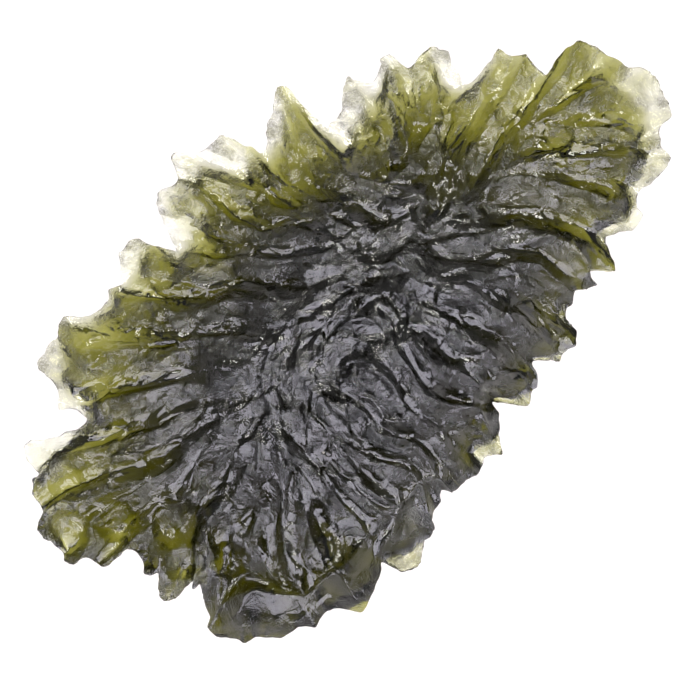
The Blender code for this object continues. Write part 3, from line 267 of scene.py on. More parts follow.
CENTRE = (-1.2, -1.4)      # thickest place
BODY_REACH = (14.0, 9.6)   # how far the thick middle reaches along and across
BODY_FADE = (0.05, 1.05)   # shares of that reach between which the stone thins
REST_REACH = (5.4, 3.2)    # half length and half width of the resting face
REST_FADE = (0.8, 1.7)     # shares of that reach between which the underside's channels begin
RIM_HEIGHT = 3.25          # middle height of the rim above the resting face
RIM_WAVE = 0.45            # how far the rim rises and falls along the stone
WAVE_LENGTH = 9.0          # length of those waves along the stone
RIM_RIPPLE = 0.2           # how far it rises and falls in shorter waves
RIPPLE_LENGTH = 4.0        # length of those
RIM_SEED = 5
UNDER_REACH = (0.55, 0.25)  # where a ridge of the underside ends, as a share of its tip's place
UNDER_BEND = 0.7           # how far such a ridge swings aside on its way
UNDER_TURN = 2.4           # how that swing changes from one ridge to the next, in radians
BEND_SCALE = (10, 18)      # lengths along and across that the swing is measured against

# Form of the rim by the way from the middle, in degrees: height of the top's edge, height of the top's lobes
# and width of the rise between them, then the same for the underside
RIM_FORM = [
    (0, 0.55, 1.5, 1.3, 0.6, 1.35, 1.2), (57, 0.4, 1.35, 1.3, 0.4, 1.1, 1.3),
    (100, 0.42, 1.4, 1.3, 0.48, 1.2, 1.3), (145, 0.5, 1.6, 1.2, 0.55, 1.6, 1.2),
    (180, 0.9, 1.8, 1.1, 1.0, 1.9, 0.8), (205, 0.9, 2.1, 1.4, 1.2, 2.3, 0.8),
    (213, 0.9, 2.3, 1.4, 1.7, 2.6, 0.8), (243, 0.9, 2.3, 1.6, 1.7, 2.7, 0.8),
    (262, 0.7, 2.3, 1.7, 1.0, 2.6, 0.7), (307, 0.7, 2.1, 1.4, 1.0, 2.4, 0.8),
]
ROUNDNESS = 0.61           # width of the stone over its length
LEAST_SHARE = 0.16         # share of the glass that the deepest carving leaves
LEAST_HEIGHT = 0.03        # height that is always left above and below the rim's own

# Channels between the crests; the two numbers of a fade are how far from the rim it begins and ends
LEE = (0.69, 0.73)         # way that the steep side of every crest faces
SKEW = 0.75                # how far the floor of a channel lies towards that steep side
SKEW_TURN = 0.6            # how much of that is taken back in the lobes of the stone's right end
SKEW_FADE = (3.0, 9.0)     # between which places along the stone it is taken back
CREST_WAVE = 0.06          # how unevenly high the crests of the top are, as a share
CREST_WAVE_LENGTH = 3.0
TOP_SEED = 3
UNDER_WAVE = 0.05          # the same for the underside
UNDER_WAVE_LENGTH = 3.2
UNDER_SEED = 8
CUT_MIDDLE = 0.13          # share of the top that a channel takes away in the middle
CUT_REACH = (1.0, 3.4)     # how far in the share near the rim starts to fall to that, and how slowly
STEEP_MIDDLE = 0.11        # greatest depth of a channel in the middle, as a share of its width
STEEP_RIM = 0.17           # how much more it may be at the rim
STEEP_REACH = (1.5, 2.5)   # how far in that starts to fall off, and how slowly
LESSER_DEPTH = 0.3         # depth of the channels between the lesser crests, against the next two limits
LESSER_CUT = 0.3           # share of the top
LESSER_STEEP = 0.12        # share of the channel's width
UNDER_CUT = 0.5            # share of the underside that its channels may take
UNDER_STEEP = 0.3          # their greatest depth as a share of their width
HOLLOW_FADE = (0.0, 0.8)   # where the round hollows fade out towards the rim
HOLLOW_FORM = 1.6          # how flat a hollow's floor is

# Smooth windows in the lee of the crests, and how pitted the skin is
WINDOW_LEE = (-0.2, 0.3)   # how much a place has to face the lee to be smooth
WINDOW_FLOOR = (0.08, 0.35)  # how far down the channel it has to be
WINDOW_FADE = (3.5, 7.0)   # where the windows fade out towards the middle
WINDOW_LOSS = 0.6          # and how much of them goes there
WINDOW_CALM = 0.8          # share of the pits that a window lacks
BLOCK_CALM = 0.7           # share of the pits that the block's side face lacks
RIM_PITS = 0.5             # how much more pitted the rim is
RIM_PITS_REACH = 0.6       # and how far in
UNDER_PITS = 0.5           # how pitted the underside is
REST_RISE = (0.0, 0.2)     # heights above the floor between which its pits begin
STREAK_LEAST = 0.3         # share of the furrows' depth that a smooth window keeps
FINE_FURROWS = (2, 0.6, 31)  # places of the grid across, length along and seed
BROAD_FURROWS = (7, 0.9, 32)
FURROW_LIMIT = 2.5         # furthest that a furrow departs from the mean, in spreads

# The block's broken side face
BLOCK_WAY = (-0.45, -0.89)  # way that it looks
BLOCK_TURN = (-0.1, 0.3)   # how much a place has to lie that way from the block's edge
BLOCK_NEAR = (2.8, 3.6)    # how far from edge and rim, taken together, the face fades out
BLOCK_END = (-7.6, -6.1)   # between which places along the stone it fades out
BLOCK_FOOT = 0.5           # its height at the rim
BLOCK_SLOPE = 1.0          # how steeply it rises from there
BLOCK_FACET = 0.25         # share of the facets' tilt that it keeps

# Shallow cups and tilted facets that cover the channels
CUP_SIZE = 1.25            # spacing of the cups
CUP_SEED = 11
CUP_FIELD = (20, 13)       # half length and half width of the field that they are strewn over
CUP_STRAY = 0.45           # how far a cup may stray from its place, as a share of the spacing
CUP_LIFT = 0.35            # how much higher one cup may be than the next, as a share of its depth
CUP_EDGE = 1.2             # height of the highest edge between cups, as a share of their depth
CUP_LENGTH = 1.5           # length and width of a cup, as shares of the spacing
CUP_WIDTH = 0.75
CUP_REACH = 2.2            # how far a cup is looked for, as a share of the spacing
CUP_FADE = (0.0, 1.5)      # where the cups fade out towards the rim
SMALL_CUP = 0.45           # spacing of the smaller cups and facets, as a share
SMALL_CUP_DEPTH = 0.35     # depth of those, as a share
UNDER_CUP = 1.3            # spacing of the underside's, as a share
UNDER_CUP_FADE = (0.0, 2.0)
UNDER_FACET = 0.5          # share of the facets' tilt that the underside has
FACET_ALONG = 0.6          # tilt of a facet along the crests, as a share of that across
FACET_GAIN = 0.5           # how much steeper the facets are in the middle
FACET_FADE = (2.0, 6.0)    # where that begins and ends

# The narrow broken wall at the rim, its chips and the thin plates' edges
WALL_ROWS = 5              # faces down the wall
WALL_DENT = 0.07           # depth of its dents, as a share of its height
WALL_LUMP = 1.1            # length of its dents
WALL_SWING = 0.6           # how unevenly deep they are
WALL_SEED = 41
CHIPS = ((0.9, 0.035), (0.35, 0.03), (0.18, 0.02))  # length and depth of the rim's chips and teeth
CHIP_SEED = 21
PLATE_FADE = (-1.0, 0.3)   # how deep inside a plate's outline the glass starts to thin and has thinned

# How the meshes are laid out
CREST_REACH = 4.0          # crests further off than this don't shape a place
FLOW_CORE = 0.1            # evens out the pull of crests that are very near
LINE_STEP = 0.3            # spacing of the points on a line that distances are taken from
LINE_SWING = 0.4           # how strongly a line curves between its points
FAR = 50.0                 # stands for a line out of reach
CHUNK = 8                  # pieces of a line that are handled together
GRID_STEP = 0.06           # spacing, lowest corner and count of the grid that the furrows are drawn on
GRID_LOW = (-19.0, -12.5)
GRID_COUNT = (634, 417)
PLAN_REACH = (19, 12)      # half length and half width of the sheet that the plan's points are taken from
RIM_ROOM = 0.45            # least room between a crest's points and the rim, as a share of a face's side
LINE_ROOM = 0.55           # least room between the other points and a line
MERGE = 0.02               # points nearer than this share become one
WAVES = 7                  # waves that unevenness is summed from
WAVE_SPREAD = (0.75, 1.6)  # their shortest and longest length, as a share
WAVE_SUM = 3.2             # brings their sum to between about -1 and 1

# Finer forms of the skin, which are in the material
PATCH_SIZE = 0.9           # patches of more and less pitted skin
PATCH_EDGE = (0.4, 0.58)   # where in the noise the patches begin and are full
PATCH_PITS = (0.3, 1.0)    # how pitted the skin is between the patches and in them
WRINKLE_PACE = 0.35        # spacing of the pits over that of the wrinkles
WRINKLE_SHARE = 0.4        # depth of the wrinkles over that of the pits
VEIL_SIZE = 0.2            # milky specks in the pitted skin
VEIL_FULL = 0.7            # where in the noise the milky veil is full
CLEAR = (0.9, 0.9, 0.895, 1)  # light that a smooth skin lets through
MILKY = (0.28, 0.275, 0.27, 1)  # light that a milky speck lets through
DENSITY_ROOM = 1.05        # keeps the colour that is absorbed most above black

# Lumps and pits that the skin's mesh has
SKIN_SIZES = (("Lump size", 0.8), ("Lump depth", 0.16), ("Pit size", 0.2), ("Pit depth", 0.1))

# The stage, with distances in metres
LIGHT_DISTANCE = 0.4       # of every light from the stone
GLINT_SIZE = (0.14, 0.14)
OVERHEAD_SIZE = (0.16, 0.12)
OVERHEAD_TURN = math.radians(100)  # from the large light
OVERHEAD_HEIGHT = math.radians(70)
KEY_COLOUR = (0.91, 0.88, 1.0)
GLINT_COLOUR = (1.0, 0.98, 0.9)
OVERHEAD_COLOUR = (1.0, 0.99, 0.95)
ROOM_COLOUR = (0.95, 0.95, 1, 1)
FLOOR_COLOUR = (0.03, 0.03, 0.03, 1)  # in reflected light
FLOOR_LIGHT = (1, 0.955, 0.95, 1)  # of the light that it gives off
FLOOR_ROUGHNESS = 0.9
PHOTO_SIDE = 700           # pixels
PHOTO_MIDDLE = (351.7, 307.6)  # pixel under the middle of the stone's box
PIXEL = 0.04678 * MM       # length of a pixel at the stone
TURN = math.radians(43.5)  # how far the stone's length is turned from the picture's level
LENS = 100                 # millimetres, as the next
SENSOR = 36
NEAR_CLIP = 0.01


class StoneShape(bpy.types.PropertyGroup):
    """Sizes of the stone."""
    top_middle: bpy.props.FloatProperty(
        name="Top at the middle", description="Height of the top above the rim at the thickest place",
        default=4.3 * MM, subtype="DISTANCE")
    under_middle: bpy.props.FloatProperty(
        name="Underside at the middle",
        description="Depth of the underside below the rim at the thickest place",
        default=3.6 * MM, subtype="DISTANCE")
    channel_cut: bpy.props.FloatProperty(
        name="Channel cut", description="Share of the top that a channel takes away near the rim",
        default=0.56, subtype="FACTOR")
    cup_depth: bpy.props.FloatProperty(
        name="Cup depth", description="Depth of the shallow cups of the skin",
        default=0.25 * MM, subtype="DISTANCE")
    facet_tilt: bpy.props.FloatProperty(
        name="Facet tilt", description="Greatest slope of the small flat facets of the skin",
        default=0.3, subtype="FACTOR")
    streak_depth: bpy.props.FloatProperty(
        name="Streak depth", description="Depth of the fine furrows that run along the ridges",
        default=0.012 * MM, subtype="DISTANCE")
    plate_share: bpy.props.FloatProperty(
        name="Plate share", description="Share of the glass that is left in a thin plate at the rim",
        default=0.15, subtype="FACTOR")
    top_step: bpy.props.FloatProperty(
        name="Top face side", description="Side of a face on the top", default=0.092 * MM,
        subtype="DISTANCE")
    under_step: bpy.props.FloatProperty(
        name="Underside face side", description="Side of a face on the underside", default=0.165 * MM,
        subtype="DISTANCE")


class StoneGlass(bpy.types.PropertyGroup):
    """Colour and skin of the glass."""
    absorption: bpy.props.FloatVectorProperty(
        name="Absorption", description="Light taken per metre of glass in red, green and blue",
        default=(930.0, 935.0, 2280.0), min=0.0, max=5000.0)
    bend: bpy.props.FloatProperty(
        name="Index of refraction", description="How strongly the glass bends light", default=1.49)
    gloss_low: bpy.props.FloatProperty(
        name="Roughness of smooth faces", description="Roughness in the smooth windows", default=0.1,
        subtype="FACTOR")
    gloss_high: bpy.props.FloatProperty(
        name="Roughness of the skin", description="Roughness where the skin is pitted", default=0.28,
        subtype="FACTOR")
    pit_size: bpy.props.FloatProperty(
        name="Pit size", description="Spacing of the finest pits of the skin",
        default=0.095 * MM, subtype="DISTANCE")
    pit_depth: bpy.props.FloatProperty(
        name="Pit depth", description="Depth of the finest pits of the skin",
        default=0.095 * MM, subtype="DISTANCE")


class StoneStage(bpy.types.PropertyGroup):
    """Floor, lights and camera."""
    floor_glow: bpy.props.FloatProperty(
        name="Floor glow", description="Light that the pale floor gives off", default=1.08)
    floor_side: bpy.props.FloatProperty(
        name="Floor side", description="Side of the floor", default=1.6, subtype="DISTANCE")
    key_glow: bpy.props.FloatProperty(
        name="Key light", description="Brightness of the large soft light", default=7.0)
    key_size: bpy.props.FloatVectorProperty(
        name="Key size", description="Width and height of the large soft light", default=(1.1, 0.5), size=2,
        subtype="XYZ")
    key_height: bpy.props.FloatProperty(
        name="Key elevation", description="Height angle of the large soft light", default=math.radians(50),
        subtype="ANGLE")
    glint_glow: bpy.props.FloatProperty(
        name="Glint light", description="Brightness of the small light that makes the glints", default=24.0)
    glint_height: bpy.props.FloatProperty(
        name="Glint elevation", description="Height angle of the small light", default=math.radians(62),
        subtype="ANGLE")
    overhead_glow: bpy.props.FloatProperty(
        name="Overhead light", description="Brightness of the small light high above the stone",
        default=19.0)
    room_glow: bpy.props.FloatProperty(
        name="Room light", description="Dim light from the room around", default=0.35)
    backdrop_glow: bpy.props.FloatProperty(
        name="Backdrop", description="Brightness of the room as the camera sees it", default=0.85)


def rise(value, low, high):
    """A smooth climb from 0 at low to 1 at high."""
    t = np.clip((value - low) / (high - low), 0, 1)
    return t * t * (3 - 2 * t)


def unit(ways):
    """The ways, each brought to a length of 1."""
    return ways / np.maximum(np.hypot(ways[:, 0], ways[:, 1]), TINY)[:, None]


def fall(rim_distance, start, reach):
    """1 up to the given start from the rim, then falling towards 0 over the reach."""
    return np.exp(-np.maximum(rim_distance - start, 0) / reach)


def smooth_line(points, step, closed=False):
    """A curve through the points with a point about every step."""
    knots = [Vector(point) for point in points]
    count = len(knots)
    line = []
    for i in range(count if closed else count - 1):
        start, end = knots[i], knots[(i + 1) % count]
        before = knots[i - 1] if closed or i else start
        after = knots[(i + 2) % count] if closed or i + 2 < count else end
        pieces = max(1, round((end - start).length / step))
        for k in range(pieces):
            t = k / pieces
            bend = (end - before) * t * (1 - t) ** 2 - (after - start) * t * t * (1 - t)
            line.append(start * (1 + 2 * t) * (1 - t) ** 2 + end * t * t * (3 - 2 * t) + LINE_SWING * bend)
    if not closed:
        line.append(knots[-1])
    return np.array([tuple(point) for point in line])


def nearest_on_line(points, line, reach=FAR):
    """Each point's distance from a line, up to the reach, and the unit way from the line to the point."""
    best = np.full(len(points), FAR)
    way = np.zeros((len(points), 2))
    for first in range(0, len(line) - 1, CHUNK):
        piece = line[first:first + CHUNK + 1]
        close = np.arange(len(points))
        if reach < FAR:
            low, high = piece.min(axis=0) - reach, piece.max(axis=0) + reach
            close = np.flatnonzero((points[:, 0] > low[0]) & (points[:, 0] < high[0])
                                   & (points[:, 1] > low[1]) & (points[:, 1] < high[1]))
        here = points[close]
        least, off_least = best[close], way[close]
        for a, b in zip(piece[:-1], piece[1:]):
            along = b - a
            share = np.clip((here - a) @ along / max(along @ along, TINY), 0, 1)
            off = here - (a + share[:, None] * along)
            distance = np.hypot(off[:, 0], off[:, 1])
            nearer = distance < least
            least[nearer] = distance[nearer]
            off_least[nearer] = off[nearer]
        best[close] = least
        way[close] = off_least
    return best, unit(way)


def inside(points, corners):
    """Which points lie inside a closed patch."""
    held = np.zeros(len(points), dtype=bool)
    for (ax, ay), (bx, by) in zip(corners, corners[1:] + corners[:1]):
        between = (ay > points[:, 1]) != (by > points[:, 1])
        if ay != by:
            held ^= between & (points[:, 0] < (bx - ax) * (points[:, 1] - ay) / (by - ay) + ax)
    return held


class Crests:
    """Distances from a set of crests, and the way across the nearest one."""

    def __init__(self, points, lines):
        found = [nearest_on_line(points, line, CREST_REACH) for line in lines]
        self.distances = np.array([distance for distance, _ in found])
        self.ways = np.array([way for _, way in found])
        skew = SKEW - SKEW_TURN * rise(points[:, 0], *SKEW_FADE)
        self.skewed = self.distances * np.exp(skew * (self.ways @ np.array(LEE)))
        self.points = points

    def channel(self, count=None):
        """0 on crests and 1 on the floors between them, the width there, and how far it is on a lee side."""
        distances, skewed = self.distances[:count], self.skewed[:count]
        order = np.argpartition(distances, 1, axis=0)[:2]
        column = np.arange(len(self.points))
        first, second = distances[order[0], column], distances[order[1], column]
        swap = first > second
        near = np.where(swap, order[1], order[0])
        far = np.where(swap, order[0], order[1])
        share = skewed[near, column] / np.maximum(skewed[near, column] + skewed[far, column], TINY)
        lee = self.ways[near, column] @ np.array(LEE)
        return 4 * share * (1 - share), np.minimum(first + second, 2 * CREST_REACH), lee

    def flow(self):
        """Unit way along the crests around each point, as the cosine and sine of twice its angle."""
        weight = 1 / (self.distances ** 2 + FLOW_CORE)
        x, y = self.ways[:, :, 0], self.ways[:, :, 1]
        cosine = (weight * (y * y - x * x)).sum(axis=0)
        sine = (weight * -2 * x * y).sum(axis=0)
        return unit(np.stack([cosine, sine], axis=1))


def smooth_noise(columns, rows, cell, seed):
    """Seeded noise on a grid, smooth over cells of the given number of places, between about -1 and 1."""
    chance = np.random.RandomState(seed)
    coarse = chance.uniform(-1, 1, (rows // cell + 4, columns // cell + 4))
    y, x = np.mgrid[0:rows, 0:columns] / cell
    i, j = y.astype(int), x.astype(int)
    u, v = y - i, x - j
    u, v = u * u * (3 - 2 * u), v * v * (3 - 2 * v)
    top = coarse[i, j] * (1 - v) + coarse[i, j + 1] * v
    low = coarse[i + 1, j] * (1 - v) + coarse[i + 1, j + 1] * v
    return top * (1 - u) + low * u


def grid_points():
    """Places of the grid that the furrows are drawn on."""
    x = GRID_LOW[0] + GRID_STEP * np.arange(GRID_COUNT[0])
    y = GRID_LOW[1] + GRID_STEP * np.arange(GRID_COUNT[1])
    return np.stack(np.meshgrid(x, y), axis=-1).reshape(-1, 2)


def grid_place(points):
    """Row and column of each point on that grid, as whole numbers."""
    column = np.clip(np.rint((points[:, 0] - GRID_LOW[0]) / GRID_STEP).astype(int), 0, GRID_COUNT[0] - 1)
    row = np.clip(np.rint((points[:, 1] - GRID_LOW[1]) / GRID_STEP).astype(int), 0, GRID_COUNT[1] - 1)
    return row, column


def furrows(flow, cell, length, seed):
    """Noise drawn out along the flow: furrows of about the given cell across and length along."""
    columns, rows = GRID_COUNT
    noise = smooth_noise(columns, rows, cell, seed)
    half = 0.5 * np.arctan2(flow[:, 1], flow[:, 0])
    along = np.stack([np.cos(half), np.sin(half)], axis=1).reshape(rows, columns, 2)
    start = grid_points()
    total = noise.copy().ravel()
    steps = int(length / (2 * GRID_STEP))
    for sign in (1, -1):
        place = start.copy()
        heading = sign * along.reshape(-1, 2)
        for _ in range(steps):
            place += GRID_STEP * heading
            row, column = grid_place(place)
            turn = along[row, column]
            turn = turn * np.where((turn * heading).sum(axis=1) < 0, -1, 1)[:, None]
            heading = turn
            total += noise[row, column]
    total /= total.std()
    return np.clip(total, -FURROW_LIMIT, FURROW_LIMIT).reshape(rows, columns)


def on_grid(values, points):
    """Values of a grid at each point, blended between its places."""
    x = np.clip((points[:, 0] - GRID_LOW[0]) / GRID_STEP, 0, GRID_COUNT[0] - 1.001)
    y = np.clip((points[:, 1] - GRID_LOW[1]) / GRID_STEP, 0, GRID_COUNT[1] - 1.001)
    i, j = y.astype(int), x.astype(int)
    u, v = y - i, x - j
    top = values[i, j] * (1 - v) + values[i, j + 1] * v
    low = values[i + 1, j] * (1 - v) + values[i + 1, j + 1] * v
    return top * (1 - u) + low * u


def wobble(points, length, seed):
    """Smooth unevenness between about -1 and 1 over the given length."""
    chance = np.random.RandomState(seed)
    total = np.zeros(len(points))
    for k in range(WAVES):
        angle = math.pi * (k + chance.uniform(0, 1)) / WAVES
        pace = 2 * math.pi / (length * chance.uniform(*WAVE_SPREAD))
        across = points[:, 0] * math.cos(angle) + points[:, 1] * math.sin(angle)
        total += np.sin(pace * across + chance.uniform(0, 2 * math.pi))
    return total / WAVE_SUM


def plate_share(points, least):
    """Share of the glass that is left where thin plates are."""
    left = np.ones(len(points))
    for corners in PLATES:
        ring = np.array(corners + corners[:1])
        distance, _ = nearest_on_line(points, ring, -PLATE_FADE[0])
        depth = np.where(inside(points, corners), distance, -distance)
        left = np.minimum(left, 1 - (1 - least) * rise(depth, *PLATE_FADE))
    return left


def cups(points, flow, seed, size):
    """Shallow cups that meet in sharp edges, low in their middles, and a tilted facet in each.

    The cups are drawn out along the flow. A facet is given as the height of its plane for a slope of 1.
    """
    chance = np.random.RandomState(seed)
    columns = np.arange(-CUP_FIELD[0], CUP_FIELD[0], size)
    rows = np.arange(-CUP_FIELD[1], CUP_FIELD[1], size)
    grid = np.stack(np.meshgrid(columns, rows), axis=-1).reshape(-1, 2)
    middles = grid + chance.uniform(-CUP_STRAY, CUP_STRAY, grid.shape) * size
    lift = chance.uniform(0, CUP_LIFT, len(grid))
    tilt = chance.uniform(-1, 1, grid.shape)
    row, column = grid_place(middles)
    half = 0.5 * np.arctan2(flow[row, column, 1], flow[row, column, 0])
    best = np.full(len(points), CUP_EDGE)
    facet = np.zeros(len(points))
    reach = CUP_REACH * size
    for middle, raised, lean, angle in zip(middles, lift, tilt, half):
        close = np.flatnonzero((np.abs(points[:, 0] - middle[0]) < reach)
                               & (np.abs(points[:, 1] - middle[1]) < reach))
        off = points[close] - middle
        along = off @ np.array([math.cos(angle), math.sin(angle)])
        across = off @ np.array([-math.sin(angle), math.cos(angle)])
        value = ((along / CUP_LENGTH) ** 2 + (across / CUP_WIDTH) ** 2) / (size * size) + raised
        nearer = value < best[close]
        best[close[nearer]] = value[nearer]
        facet[close[nearer]] = along[nearer] * lean[0] * FACET_ALONG + across[nearer] * lean[1]
    return best, facet


def hollows(points):
    """How deep the round hollows are at each point."""
    depth = np.zeros(len(points))
    for x, y, radius, deep in HOLLOWS:
        off = ((points[:, 0] - x) ** 2 + (points[:, 1] - y) ** 2) / radius ** 2
        depth = np.maximum(depth, deep * np.clip(1 - off ** HOLLOW_FORM, 0, 1))
    return depth


def body_share(points):
    """1 in the thick middle of the stone and 0 in its outer lobes."""
    x, y = points[:, 0], points[:, 1]
    reach = np.hypot((x - CENTRE[0]) / BODY_REACH[0], (y - CENTRE[1]) / BODY_REACH[1])
    return 1 - rise(reach, *BODY_FADE)


def block_face(points, rim_distance):
    """How much each point belongs to the block's broken side face."""
    distance, way = nearest_on_line(points, smooth_line(BLOCK_EDGE, LINE_STEP), CREST_REACH)
    outside = rise(way @ np.array(BLOCK_WAY), *BLOCK_TURN)
    near = (1 - rise(distance + rim_distance, *BLOCK_NEAR)) * (1 - rise(points[:, 0], *BLOCK_END))
    return outside * near


def rim_form(points):
    """Edge, lobe and fade of the top, then of the underside, for the way in which each point lies."""
    way = np.degrees(np.arctan2(points[:, 1] / ROUNDNESS, points[:, 0]))
    knots = np.array(RIM_FORM)
    return [np.interp(way, knots[:, 0], column, period=360) for column in knots.T[1:]]


def crest_height(rim_distance, edge, lobe, fade, middle, body):
    """Height of one side's crests: the edge's at the rim, the lobe's further in and most in the middle."""
    return edge + (lobe - edge) * (1 - fall(rim_distance, 0, fade)) + (middle - lobe) * body


def top_surface(points, rim_distance, shape, fields):
    """Height of the top above the rim's own height, and how pitted its skin is."""
    flow, fine, broad = fields
    lines = [smooth_line(line, LINE_STEP) for line in UPPER_CRESTS + LOWER_CRESTS + MIDDLE_CRESTS]
    lesser = [smooth_line(line, LINE_STEP) for line in LESSER_CRESTS]
    crests = Crests(points, lines + lesser)
    floor, width, lee = crests.channel(len(lines))
    small_floor, small_width, _ = crests.channel()
    edge, lobe, fade, _, _, _ = rim_form(points)
    crest_top = crest_height(rim_distance, edge, lobe, fade, shape.top_middle / MM, body_share(points))
    crest_top *= 1 + CREST_WAVE * wobble(points, CREST_WAVE_LENGTH, TOP_SEED)
    inner = rise(rim_distance, *CUP_FADE)
    cut = CUT_MIDDLE + (shape.channel_cut - CUT_MIDDLE) * fall(rim_distance, *CUT_REACH)
    steepest = STEEP_MIDDLE + STEEP_RIM * fall(rim_distance, *STEEP_REACH)
    carved = floor * (1 + floor) / 2 * np.minimum(cut * crest_top, steepest * width)
    carved += LESSER_DEPTH * small_floor * np.minimum(LESSER_CUT * crest_top, LESSER_STEEP * small_width)
    cup_depth = shape.cup_depth / MM
    large, facet = cups(points, flow, CUP_SEED, CUP_SIZE)
    small, small_facet = cups(points, flow, CUP_SEED + 1, SMALL_CUP * CUP_SIZE)
    carved += cup_depth * (1 - large) * inner
    carved += SMALL_CUP_DEPTH * cup_depth * (1 - small) * inner
    steeper = 1 + FACET_GAIN * rise(rim_distance, *FACET_FADE)
    carved += shape.facet_tilt * (facet * steeper + small_facet) * inner
    carved += hollows(points) * rise(rim_distance, *HOLLOW_FADE)
    window = rise(lee, *WINDOW_LEE) * rise(floor, *WINDOW_FLOOR)
    window = window * (1 - WINDOW_LOSS * rise(rim_distance, *WINDOW_FADE))
    face = block_face(points, rim_distance)
    plates = 1 - (1 - plate_share(points, shape.plate_share)) * (1 - face)
    skin = (1 - WINDOW_CALM * window) * (1 - BLOCK_CALM * face)
    skin = skin * (1 + RIM_PITS * fall(rim_distance, 0, RIM_PITS_REACH))
    streaks = STREAK_LEAST + (1 - STREAK_LEAST) * skin
    carved -= shape.streak_depth / MM * streaks * on_grid(fine, points)
    carved -= shape.streak_depth / MM * on_grid(broad, points) * inner
    heights = np.maximum(crest_top - carved, LEAST_SHARE * crest_top)
    face_top = BLOCK_FOOT + BLOCK_SLOPE * rim_distance - BLOCK_FACET * shape.facet_tilt * facet
    heights += face * (face_top - heights)
    return heights * plates, skin


def under_lines(step):
    """Ridges of the underside, one in from each long tip."""
    lines = []
    for k, (x, y) in enumerate(UNDER_TIPS):
        end = (x * UNDER_REACH[0], y * UNDER_REACH[1])
        bend = UNDER_BEND * math.sin(UNDER_TURN * k)
        middle = ((x + end[0]) / 2 + bend * y / BEND_SCALE[0], (y + end[1]) / 2 - bend * x / BEND_SCALE[1])
        lines.append(smooth_line([(x, y), middle, end], step))
    return lines


def under_surface(points, rim_distance, shape, fields):
    """Depth of the underside below the rim's own height, and how pitted its skin is."""
    _, _, _, edge, lobe, fade = rim_form(points)
    crest_low = crest_height(rim_distance, edge, lobe, fade, shape.under_middle / MM, body_share(points))
    crest_low *= 1 + UNDER_WAVE * wobble(points, UNDER_WAVE_LENGTH, UNDER_SEED)
    crests = Crests(points, under_lines(LINE_STEP))
    floor, width, _ = crests.channel()
    x, y = points[:, 0], points[:, 1]
    belly = np.hypot((x - CENTRE[0]) / REST_REACH[0], (y - CENTRE[1]) / REST_REACH[1])
    clear = rise(belly, *REST_FADE)
    carved = floor * np.minimum(UNDER_CUT * crest_low, UNDER_STEEP * width) * clear
    cup, facet = cups(points, fields[0], CUP_SEED + 6, UNDER_CUP * CUP_SIZE)
    inner = rise(rim_distance, *UNDER_CUP_FADE) * clear
    carved += (shape.cup_depth / MM * (1 - cup) + UNDER_FACET * shape.facet_tilt * facet) * inner
    depths = np.maximum(crest_low - carved, LEAST_SHARE * crest_low)
    return depths * plate_share(points, shape.plate_share), UNDER_PITS * clear


def rim_heights(points):
    """Height of the rim's wavy surface."""
    waves = RIM_WAVE * wobble(points, WAVE_LENGTH, RIM_SEED)
    return RIM_HEIGHT + waves + RIM_RIPPLE * wobble(points, RIPPLE_LENGTH, RIM_SEED + 1)


def plan_mesh(rim, lines, step):
    """Triangles that fill the rim, with edges along the lines; the rim's corners come first."""
    across = step * math.sqrt(3) / 2
    y = np.arange(-PLAN_REACH[1], PLAN_REACH[1], across)
    x = np.arange(-PLAN_REACH[0], PLAN_REACH[0], step)
    grid = np.stack(np.meshgrid(x, y), axis=-1)
    grid[1::2, :, 0] += step / 2
    grid = grid.reshape(-1, 2)
    ring = np.vstack([rim, rim[:1]])
    outline = [tuple(point) for point in rim]
    grid = grid[inside(grid, outline)]
    room = nearest_on_line(grid, ring, step)[0]
    for line in lines:
        room = np.minimum(room, nearest_on_line(grid, line, step)[0])
    points = list(outline)
    edges = [(i, (i + 1) % len(rim)) for i in range(len(rim))]
    for line in lines:
        clear = nearest_on_line(line, ring, step)[0] > RIM_ROOM * step
        kept = np.flatnonzero(clear & inside(line, outline))
        first = len(points)
        points += [tuple(line[k]) for k in kept]
        edges += [(first + k, first + k + 1) for k in np.flatnonzero(np.diff(kept) == 1).tolist()]
    points += [tuple(point) for point in grid[room > LINE_ROOM * step]]
    flat = delaunay_2d_cdt([Vector(point) for point in points], edges, [], 1, step * MERGE)
    corner = {}
    for k, source in enumerate(flat[3]):
        for old in source:
            corner[old] = k
    on_rim = [corner[i] for i in range(len(rim))]
    return np.array([tuple(point) for point in flat[0]]), np.array(flat[2]), on_rim


def outward(rim):
    """Unit way across the rim at each of its points."""
    way = np.roll(rim, -1, axis=0) - np.roll(rim, 1, axis=0)
    return unit(np.stack([-way[:, 1], way[:, 0]], axis=1))


def crumbled(rim, step):
    """The rim with small chips and teeth."""
    along = np.arange(len(rim)) * step
    chance = np.random.RandomState(CHIP_SEED)
    steps = np.zeros(len(rim))
    for size, depth in CHIPS:
        knots = chance.uniform(-1, 1, int(len(rim) * step / size) + 2)
        steps += depth * np.interp(along / size, np.arange(len(knots)), knots)
    return rim + outward(rim) * steps[:, None]


def wall_rows(rim, high, low, step):
    """Rows of points down the broken wall at the rim, dented unevenly into the glass."""
    middle = rim.mean(axis=0)
    out = outward(rim)
    out *= np.sign(((rim - middle) * out).sum())
    along = np.arange(len(rim)) * step
    rows = []
    for k in range(1, WALL_ROWS):
        share = k / WALL_ROWS
        row = high + (low - high) * share
        swing = WALL_SWING * wobble(np.column_stack([along, 2 * row[:, 2]]), WALL_LUMP, WALL_SEED)
        uneven = np.clip(0.5 + swing, 0, 1)
        dent = WALL_DENT * math.sin(math.pi * share) * (high[:, 2] - low[:, 2]) * uneven
        row[:, :2] -= out * dent[:, None]
        rows.append(row)
    return rows


